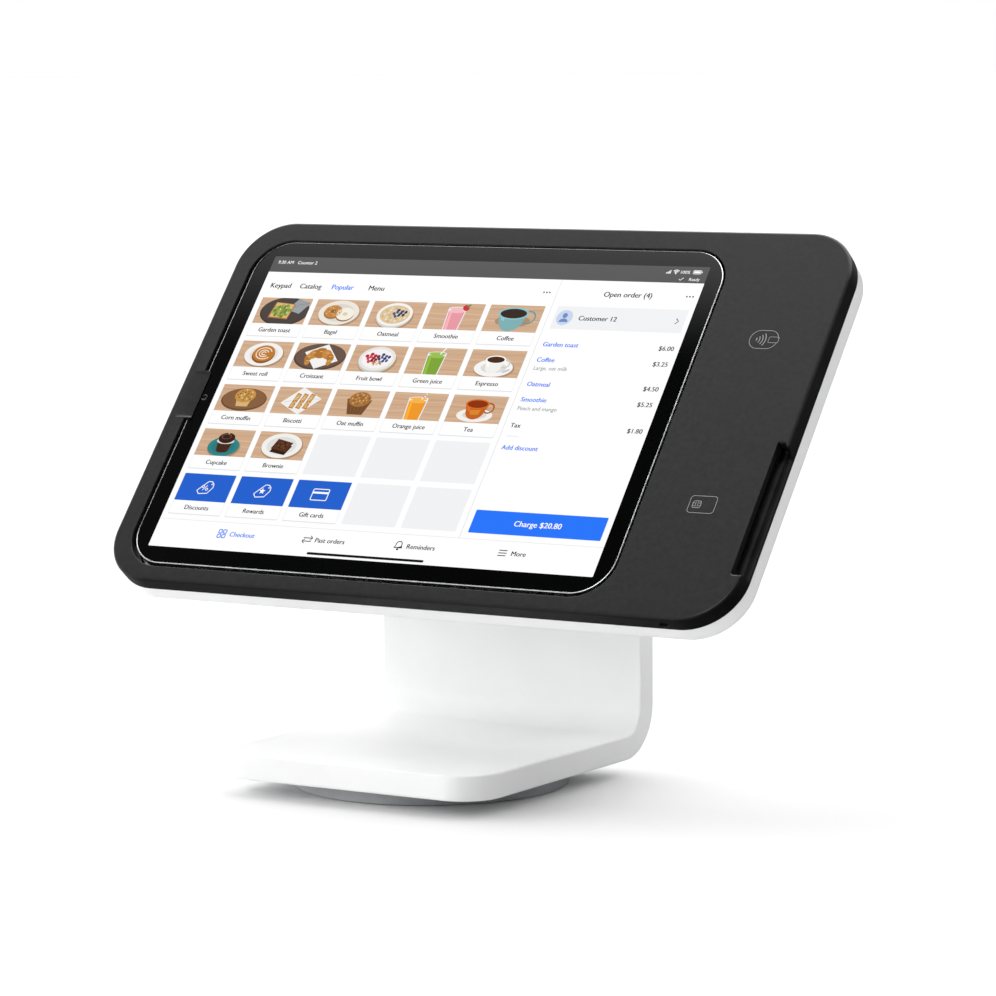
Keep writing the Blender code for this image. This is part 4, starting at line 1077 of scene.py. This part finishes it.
def napkin(c, half, turn_deg, colour):
    turn = Matrix.Rotation(math.radians(turn_deg), 2)
    corners = [turn @ Vector(corner) for corner in ((half, 0), (0, half * 0.7), (-half, 0), (0, -half * 0.7))]
    c.fill(corners, colour, 4.25)
    c.line([0.9 * corners[0], 0.2 * corners[1], 0.8 * corners[2]], 0.3, shade_of(colour, 0.88), 4.5)


def bowl(c, radius, outside, filling):
    c.oval((0.4, -1.2), (radius * 1.05, radius * 0.72), SHADOW, 3.5, 36)
    c.oval((0, -0.5), (radius, radius * 0.74), shade_of(outside, 0.86), 4, 40)
    c.oval((0, 0), (radius, radius * 0.68), outside, 4.5, 40)
    c.oval((0, 0), (radius * 0.84, radius * 0.54), filling, 5, 36)


def tumbler(c, width, height, drink, top):
    """A straight glass seen from a little above."""
    half, low, high = 0.62 * width, -1.9 - height / 2, -1.9 + height / 2
    fill_v = high - 1.2
    c.oval((0.8, low - 0.2), (half * 1.3, 0.9), SHADOW, 3.5)
    c.fill([(-half * 0.82, low), (half * 0.82, low), (half, high), (-half, high)], "e9eef0", 4)
    c.oval((0, low), (half * 0.82, 0.6), "dfe6e8", 4.1)
    foot_v = low + 0.5
    liquid = [(-half * 0.7, foot_v), (half * 0.7, foot_v), (half * 0.88, fill_v), (-half * 0.88, fill_v)]
    c.fill(liquid, drink, 4.5)
    shine = [(-0.6, low + 0.7), (-0.35, low + 0.7), (-0.5, high - 1.4), (-0.75, high - 1.4)]
    c.fill([(half * a, v) for a, v in shine], shade_of(drink, 1.16), 5)
    c.oval((0, fill_v), (half * 0.88, 0.75), top, 5)
    c.oval((0, high), (half, 0.85), "f4f8f9", 4.2)
    c.oval((0, high - 0.05), (half * 0.9, 0.68), top, 5.2)


def mug(c, radius, outside, drink):
    c.oval((0.7, -2.6), (radius * 1.15, radius * 0.4), SHADOW, 3.5)
    c.outline(circle(radius * 0.42, 18, (radius * 1.05, -0.8)), 0.6, shade_of(outside, 0.85), 4.4)
    c.fill([(radius, 0.8)] + arc((0, -1.9), radius * 0.8, 0, -180, 16) + [(-radius, 0.8)], outside, 4.5)
    shine = [(-0.85, 0.4), (-0.5, 0.2), (-0.45, -2.6), (-0.65, -2.2)]
    c.fill([(radius * a, v) for a, v in shine], shade_of(outside, 1.15), 5)
    c.oval((0, 0.8), (radius, radius * 0.42), shade_of(outside, 1.12), 5, 36)
    c.oval((0, 0.75), (radius * 0.86, radius * 0.33), drink, 5.5, 32)


def cup(c, half_top, top, half_low, low, colour):
    c.fill([(-half_top, top), (half_top, top), (half_low, low), (-half_low, low)], colour, 5)


def draw_toast(c):
    c.oval((1, -0.3), (10.8, 6.4), "3c3532", 3.5, 44)
    c.oval((1, 0), (10.4, 6.0), "4a423e", 4, 44)
    napkin(c.at(6.5, 2.2), 5.0, 20, "9aa0a4")
    slice_at = [(-5.5, -3.2), (3.4, -3.8), (4.6, 3.1), (-4.2, 3.9)]
    c.fill(slice_at, "a9713c", 5)
    c.at(0, 0.15, 0.9).fill(slice_at, "e0b878", 5.5)
    crumbs(c, (-0.4, 0), (3.9, 2.7), 26, 0.85, ("7f9a3e", "9db356", "6c8733"), 6)
    crumbs(c, (-0.2, 0.1), (3.3, 2.2), 7, 0.32, ("c8473a", "f0e6cf"), 6.5)


def draw_bagel(c):
    plate(c, 8.8, "ece7dd")
    for u, v, top, hole in ((-2.6, 0.5, "c98a45", "8d6238"), (3.0, -0.5, "f5efe0", "d8cdb8")):
        c.oval((u, v - 0.4), (3.9, 3.0), "9a6430", 5, 30)
        c.oval((u, v), (3.8, 2.8), top, 5.5, 30)
        c.oval((u, v), (1.1, 0.75), hole, 6, 18)
    crumbs(c, (-2.6, 0.5), (3.2, 2.3), 16, 0.2, ("f3e3bd", "5f4a30"), 6.5)


def draw_oats(c):
    bowl(c.at(-0.5, 0), 7.6, "f4f2ee", "dcc49c")
    crumbs(c, (-0.5, 0), (5.6, 3.4), 30, 0.55, ("e8d4b0", "cfae7c", "f0e2c6"), 5.5)
    crumbs(c, (1.2, 0.6), (3.0, 1.7), 9, 0.75, ("36436e", "4a5888", "2b3558"), 6)


def draw_shake(c):
    tumbler(c.at(0.3, -0.2), 6.2, 11.2, "e89aa4", "f2bcc2")
    c.oval((3.7, 3.9), (1.5, 1.2), "c8303a", 6.5, turn_deg=-35)
    c.oval((4.6, 4.9), (0.9, 0.4), "5f8a3a", 7, turn_deg=30)


def draw_coffee(c):
    mug(c.at(-0.6, 1.4), 6.4, "7fb0b4", "33231a")


def draw_bun(c):
    plate(c, 8.4, "f3f2ef")
    c.oval((0, -0.2), (5.0, 3.9), "8f5522", 5, 32)
    c.oval((0, 0.4), (4.8, 3.6), "c07a34", 5.5, 32)
    for radius in (3.4, 2.0, 0.9):
        turn = [(radius * a, 0.4 + radius * 0.74 * b) for a, b in arc((0, 0), 1, 20, 320, 22)]
        c.line(turn, 0.42, "f3e6cf", 6)


def draw_croissant(c):
    c.oval((0, -0.2), (11.2, 5.9), "54423a", 3.5, 44)
    c.oval((0, 0.1), (10.7, 5.4), "6a544a", 4, 44)
    napkin(c.at(0.6, 0), 8.0, -12, "f4f3f0")
    for i in range(7):
        angle, size = math.radians(200 - 36 * i), 2.35 - 0.42 * abs(i - 3)
        u, v = 5.0 * math.cos(angle), -1.6 + 3.1 * math.sin(angle)
        colour = ("c88a42", "b3742f")[i % 2]
        c.oval((u, v), (size * 1.25, size), colour, 5 + 0.25 * i, turn_deg=math.degrees(angle) - 90)
        c.line([(u - 0.7, v + 0.6), (u + 0.7, v + 0.7)], 0.3, "e6b877", 7)


def draw_berries(c):
    bowl(c, 7.8, "e9e6e2", "f6f3f4")
    crumbs(c, (-2.2, 0.3), (2.9, 2.2), 11, 0.85, ("b52a3a", "d24a52", "8f1f30"), 5.5)
    crumbs(c, (2.6, 0.2), (2.5, 2.1), 9, 0.75, ("3a4272", "545c90"), 6)
    crumbs(c, (0.5, -1.9), (2.5, 0.8), 8, 0.45, ("d9b884", "c29a60"), 6.5)


def draw_green_juice(c):
    tumbler(c.at(-0.5, -0.1), 6.4, 10.6, "7fa63a", "9cbf55")
    c.line([(0.8, 3.0), (2.6, 6.2)], 0.5, "f4f6ee", 6)


def draw_espresso(c):
    c.oval((0.4, -2.4), (8.4, 4.0), SHADOW, 3.5, 40)
    c.oval((0, -1.9), (8.0, 3.8), "f6f5f3", 4, 40)
    c.oval((0, -1.8), (5.3, 2.3), "dedcd8", 4.3, 36)
    mug(c.at(-0.2, 0.9), 4.2, "f2f1ee", "4a2c18")
    c.oval((5.6, -3.0), (1.7, 0.5), "c9ccd0", 5, turn_deg=25)


def draw_muffin(c):
    c.oval((0, -0.6), (10.0, 5.0), "6e4c34", 3.5, 40)
    c.oval((0, -0.3), (9.5, 4.5), "87603f", 4, 40)
    cup(c, 3.4, 0.2, 2.5, -3.6, "d9b27a")
    c.oval((0, 1.2), (4.5, 3.1), "c8924c", 5.5, 32)
    crumbs(c, (0, 1.3), (3.7, 2.4), 20, 0.45, ("5f7d34", "e5c488", "a66f34"), 6)


def draw_biscotti(c):
    napkin(c, 8.6, 8, "f2f1ee")
    for u in (-3.2, -0.2, 2.8):
        at = c.at(u, 0)
        at.fill([(-1.1, -3.2), (0.9, -3.6), (2.6, 2.8), (0.6, 3.4)], "b27c42", 5)
        at.fill([(-0.7, -2.8), (0.7, -3.1), (2.2, 2.5), (0.8, 2.9)], "d8aa6c", 5.5)
        crumbs(at, (0.8, 0), (0.7, 2.3), 6, 0.28, ("8a5a2c", "f0dcb4"), 6)


def draw_oat_muffin(c):
    paper = [(-5.4, 1.8), (-3.2, -4.8), (3.2, -4.8), (5.4, 1.8)]
    c.fill(paper + [(3.6, 0.9), (1.2, 2.4), (-1.4, 1.0), (-3.6, 2.5)], "7a5232", 5)
    for i in range(5):
        c.line([(-3.8 + 1.9 * i, 1.0), (-2.5 + 1.25 * i, -4.5)], 0.22, "5e3d24", 5.5)
    c.oval((0, 1.8), (4.6, 3.2), "a8743c", 6, 32)
    crumbs(c, (0, 2.0), (3.8, 2.5), 22, 0.42, ("8a5a2c", "c8955a", "d9b07a"), 6.5)


def draw_orange_juice(c):
    tumbler(c.at(-0.5, -0.1), 6.6, 10.6, "f0992a", "f6b452")
    c.line([(0.8, 3.0), (2.8, 6.2)], 0.55, "f6f2ec", 6)
    for i in range(3):
        u, v = 1.3 + 0.55 * i, 3.8 + 0.88 * i
        c.line([(u, v), (u + 0.2, v + 0.32)], 0.55, "c8403a", 6.5)


def draw_tea(c):
    c.oval((0, -2.6), (7.4, 2.9), "f3f1ee", 4, 40)
    c.oval((0, -2.5), (5.0, 1.7), "dfd6cc", 4.3, 36)
    mug(c.at(-0.3, 1.4), 4.9, "c4621f", "8e3410")
    c.fill([(-2.6, -0.4), (2.0, -0.2), (1.4, -2.4), (-1.9, -2.5)], "d9852f", 5.2)


def draw_cupcake(c):
    plate(c.at(0, -1.7), 6.9, "2f8487")
    cup(c, 3.3, 0.4, 2.6, -3.6, "3d2317")
    c.oval((0, -3.5), (2.6, 0.8), "3d2317", 5, 24)
    for i in range(6):
        c.line([(-2.8 + 1.12 * i, 0), (-2.2 + 0.88 * i, -3.8)], 0.2, "5c3a28", 5.5)
    c.oval((0, 0.7), (3.8, 1.3), "e6ddd3", 6, 30)
    c.oval((0, 2.0), (3.6, 2.3), "38201a", 6.5, 32)
    c.oval((-0.4, 2.7), (2.3, 1.25), "6b473a", 7)
    c.oval((-0.3, 2.6), (1.7, 0.85), "38201a", 7.5)
    c.oval((0.2, 4.1), (0.36, 0.3), "e8c66a", 7.5, 12)


def draw_brownie(c):
    plate(c, 8.6, "f1f0ed")
    square = [(-4.2, -1.9), (2.6, -3.1), (4.6, 0.9), (-2.4, 2.4)]
    c.at(0, -0.9).fill(square, "331d12", 5)
    c.at(0, 0.5).fill(square, "57321f", 5.5)
    crumbs(c, (0.2, 0.2), (2.8, 1.4), 12, 0.34, ("7a4c33", "2c180e"), 6)


TAG = [(-3.9, -1.6), (-2.5, -3.3), (2.1, -2.9), (4.1, 0.3), (3.9, 2.0), (2.6, 3.3), (0.7, 3.4)]


def draw_tag(c):
    c.outline(TAG, 0.45, WHITE, 4)
    c.oval((2.9, 1.9), (0.35, 0.35), WHITE, 4, 12)


def draw_discount(c):
    draw_tag(c)
    c.line([(-1.2, -1.4), (0.9, 1.3)], 0.36, WHITE, 4)
    for middle in ((-1.3, 0.6), (1.0, -0.8)):
        c.outline(circle(0.6, 12, middle), 0.34, WHITE, 4)


def draw_star(c):
    draw_tag(c)
    rays = [((1.7, 0.75)[i % 2], math.radians(90 + 36 * i)) for i in range(10)]
    c.fill([(radius * math.cos(angle), radius * math.sin(angle)) for radius, angle in rays], WHITE, 4)


def draw_card(c):
    c.outline(rounded_rect((-4.2, -2.9), (4.2, 2.9), 0.6, 4), 0.45, WHITE, 4)
    c.box((-4.2, 0.5), (4.2, 1.5), WHITE, 4)


TILE_U, TILE_V, TILE_STEP_U, TILE_STEP_V = -111.8, 56.8, 31.0, 24.45
TILE_WIDTH, PICTURE_HEIGHT, LABEL_HEIGHT = 28.0, 14.5, 7.0
TILE_HEIGHT = PICTURE_HEIGHT + LABEL_HEIGHT
COLUMNS = 5
FOOD_ZOOM = 1.24
MENU = {
    "Garden toast": draw_toast,
    "Bagel": draw_bagel,
    "Oatmeal": draw_oats,
    "Smoothie": draw_shake,
    "Coffee": draw_coffee,
    "Sweet roll": draw_bun,
    "Croissant": draw_croissant,
    "Fruit bowl": draw_berries,
    "Green juice": draw_green_juice,
    "Espresso": draw_espresso,
    "Corn muffin": draw_muffin,
    "Biscotti": draw_biscotti,
    "Oat muffin": draw_oat_muffin,
    "Orange juice": draw_orange_juice,
    "Tea": draw_tea,
    "Cupcake": draw_cupcake,
    "Brownie": draw_brownie,
}
EXTRAS = {"Discounts": draw_discount, "Rewards": draw_star, "Gift cards": draw_card}


def tile_box(row, column, height=TILE_HEIGHT):
    """The corners of a tile, or of the part of it that hangs this far down from its top."""
    u, v = TILE_U + TILE_STEP_U * column, TILE_V - TILE_STEP_V * row
    return (u, v - height), (u + TILE_WIDTH, v)


def labelled_tile(frames, labels, name, row, column):
    """A white tile with a faint shadow under its lower edge, and its name. Gives the box and the middle
    of its picture."""
    low, high = tile_box(row, column)
    frames.box((low[0] - 0.16, low[1] - 0.45), (high[0] + 0.16, high[1]), "e6e8ea", 2, 0.5)
    frames.box((low[0] - 0.1, low[1] - 0.2), (high[0] + 0.1, high[1]), "d3d6da", 2.25, 0.5)
    frames.box(low, high, WHITE, 2.5, 0.4)
    u = low[0] + TILE_WIDTH / 2
    labels.words(name, (u, low[1] + LABEL_HEIGHT / 2), 2.25, INK, "CENTER", LESS_BOLD, 4)
    return tile_box(row, column, PICTURE_HEIGHT), (u, high[1] - PICTURE_HEIGHT / 2)


def build_tiles():
    """The pictures of food and drink, each on its own tile with a label strip under it."""
    frames, pictures, labels = Canvas("screen_tiles"), Canvas("screen_pictures"), Canvas("screen_labels")
    for i, (name, draw) in enumerate(MENU.items()):
        (pictures.low, pictures.high), middle = labelled_tile(frames, labels, name, *divmod(i, COLUMNS))
        wood(pictures, pictures.low, pictures.high, i)
        draw(pictures.at(*middle, FOOD_ZOOM))
    for row, column in ((3, 2), (3, 3), (3, 4), (4, 3), (4, 4)):
        frames.box(*tile_box(row, column), PALE, 2, 0.4)
    for column, (name, draw) in enumerate(EXTRAS.items()):
        picture_box, middle = labelled_tile(frames, labels, name, 4, column)
        frames.box(*picture_box, "2561cf", 3, 0.3, 3)
        draw(labels.at(*middle))
    for canvas in (frames, pictures, labels):
        canvas.finish()


# ---- carried-over nodes


def dress_nodes():
    """Every CAD node still shown takes its slot's finish."""
    slot_of = {part["node"]: part["material_slot"] for part in frame["record"]["subparts"]}
    for name, node in NODES.items():
        if node.hide_render:
            continue
        if not node.material_slots:
            node.data.materials.append(FINISH[slot_of[name]])
        for slot in node.material_slots:
            slot.material = FINISH[slot_of[name]]


# ---- studio

CAMERA_AZIMUTH_DEG, CAMERA_ELEVATION_DEG, CAMERA_ROLL_DEG = 31.863, 6.19, -0.349
CAMERA_RIGHT, CAMERA_UP, CAMERA_BACK = 31.73, -39.429, 1793.39
CAMERA_LENS, CAMERA_SENSOR = 147.389, 36.0
FLOOR_RADIUS, FLOOR_DEPTH = 60000.0, 10.0


def direction(azimuth_deg, elevation_deg):
    """A direction given by its angle from the front and its angle above the floor."""
    azimuth, elevation = math.radians(azimuth_deg), math.radians(elevation_deg)
    level = math.cos(elevation)
    return math.sin(azimuth) * level, -math.cos(azimuth) * level, math.sin(elevation)


def build_camera():
    azimuth, roll = math.radians(CAMERA_AZIMUTH_DEG), math.radians(CAMERA_ROLL_DEG)
    back = Vector(direction(CAMERA_AZIMUTH_DEG, CAMERA_ELEVATION_DEG))
    level = Vector((math.cos(azimuth), math.sin(azimuth), 0))
    above = back.cross(level)
    right = math.cos(roll) * level + math.sin(roll) * above
    up = math.cos(roll) * above - math.sin(roll) * level
    data = bpy.data.cameras.new("camera")
    data.lens, data.sensor_width, data.clip_end = CAMERA_LENS, CAMERA_SENSOR, 200
    camera = linked(bpy.data.objects.new("camera", data))
    place = HEAD.translation + (CAMERA_RIGHT * right + CAMERA_UP * up + CAMERA_BACK * back) * MM
    camera.matrix_world = Matrix.Translation(place) @ Matrix((right, up, back)).transposed().to_4x4()
    bpy.context.scene.camera = camera


def build_floor():
    profile = [(0.0, 0.0), (FLOOR_RADIUS, 0.0), (FLOOR_RADIUS, -FLOOR_DEPTH), (0.0, -FLOOR_DEPTH)]
    disc = turned("floor", profile, 96)
    white = surface("floor_white", (0.90, 0.90, 0.90), (0.92, 0.92, 0.92), (0.7, 0.8), 3, 40, 0.0)
    disc.data.materials.append(white)
    disc.visible_glossy = False


# Soft lights on matt surfaces, as (azimuth from the front, elevation, power)
FILL_BASE = 0.03
FILL_LIGHTS = [
    (0, 8, 0.75),
    (135, 8, 0.05),
    (225, 8, 0.85),
    (270, 8, 2.35),
    (315, 8, 2.2),
    (112.5, 42, 0.5),
    (157.5, 42, 1.05),
    (247.5, 42, 0.85),
    (292.5, 42, 0.3),
]
FILL_START, FILL_FULL, HIGH_ELEVATION = 0.60, 0.98, 30
# What glossy surfaces mirror, as (towards, power, cosine where it starts and is full, cut by the edge)
MIRROR_BASE = 0.03
MIRROR_LIGHTS = [
    ((-0.05, 0.42, 0.88), 4.0, 0.50, 0.93, True),
    ((-0.88, 0.42, 0.12), 0.6, 0.45, 0.80, False),
    ((-0.35, -0.90, 0.22), 0.8, 0.68, 0.92, False),
    ((0.08, -0.80, 0.60), 3.0, 0.90, 0.97, False),
    ((-0.98, 0.0, -0.20), 0.5, 0.50, 0.95, False),
]
EDGE_TOWARD, EDGE_START, EDGE_FULL = (-0.019, 0.959, 0.283), 0.012, 0.045


def softened(tree, place, toward, start, full, power=1.0):
    """A soft-edged patch of the dome about a direction."""
    dot = added(tree, "ShaderNodeVectorMath", {0: place, 1: Vector(toward).normalized()})
    dot.operation = "DOT_PRODUCT"
    sockets = {"From Min": start, "From Max": full, "To Max": power, "Value": dot.outputs["Value"]}
    soft = added(tree, "ShaderNodeMapRange", sockets)
    soft.interpolation_type = "SMOOTHSTEP"
    return soft.outputs["Result"]


def combined(tree, operation, first, second):
    node = added(tree, "ShaderNodeMath", {0: first, 1: second})
    node.operation = operation
    return node.outputs["Value"]


def summed(tree, place, edge, base, lights):
    total = base
    for toward, power, start, full, edged in lights:
        light = softened(tree, place, toward, start, full, power)
        total = combined(tree, "ADD", total, combined(tree, "MULTIPLY", light, edge) if edged else light)
    return total


def build_sky():
    """A studio dome with broad soft lights, one set for matt light and one for reflections.
    The camera sees plain white behind the object."""
    world = bpy.data.worlds.new("studio")
    bpy.context.scene.world = world
    world.use_nodes = True
    tree = world.node_tree
    tree.nodes.clear()
    place = added(tree, "ShaderNodeTexCoord").outputs["Generated"]
    edge = softened(tree, place, EDGE_TOWARD, EDGE_START, EDGE_FULL)
    fill_lights = [
        (direction(azimuth, elevation), power, FILL_START, FILL_FULL, elevation > HIGH_ELEVATION)
        for azimuth, elevation, power in FILL_LIGHTS
    ]
    fill = summed(tree, place, edge, FILL_BASE, fill_lights)
    mirrored = summed(tree, place, edge, MIRROR_BASE, MIRROR_LIGHTS)
    shader, glossy, seen = [
        added(tree, "ShaderNodeBackground", {"Color": (1, 1, 1, 1), "Strength": strength}).outputs[0]
        for strength in (fill, mirrored, 1.0)
    ]
    rays = added(tree, "ShaderNodeLightPath").outputs
    for ray, other in (("Is Glossy Ray", glossy), ("Is Camera Ray", seen)):
        shader = added(tree, "ShaderNodeMixShader", {"Fac": rays[ray], 1: shader, 2: other}).outputs[0]
    added(tree, "ShaderNodeOutputWorld", {"Surface": shader})


bpy.context.scene.view_settings.view_transform = "Standard"
build_camera()
build_sky()
build_floor()
build_foot()
build_stand()
build_neck_cover()
build_bottom_cover()
build_front_frame()
build_rear_cover()
build_pods()
build_tray()
build_glass()
build_camera_window()
build_spring()
build_marks()
build_background()
build_status()
build_tabs()
build_tiles()
build_sale()
build_nav()
dress_nodes()
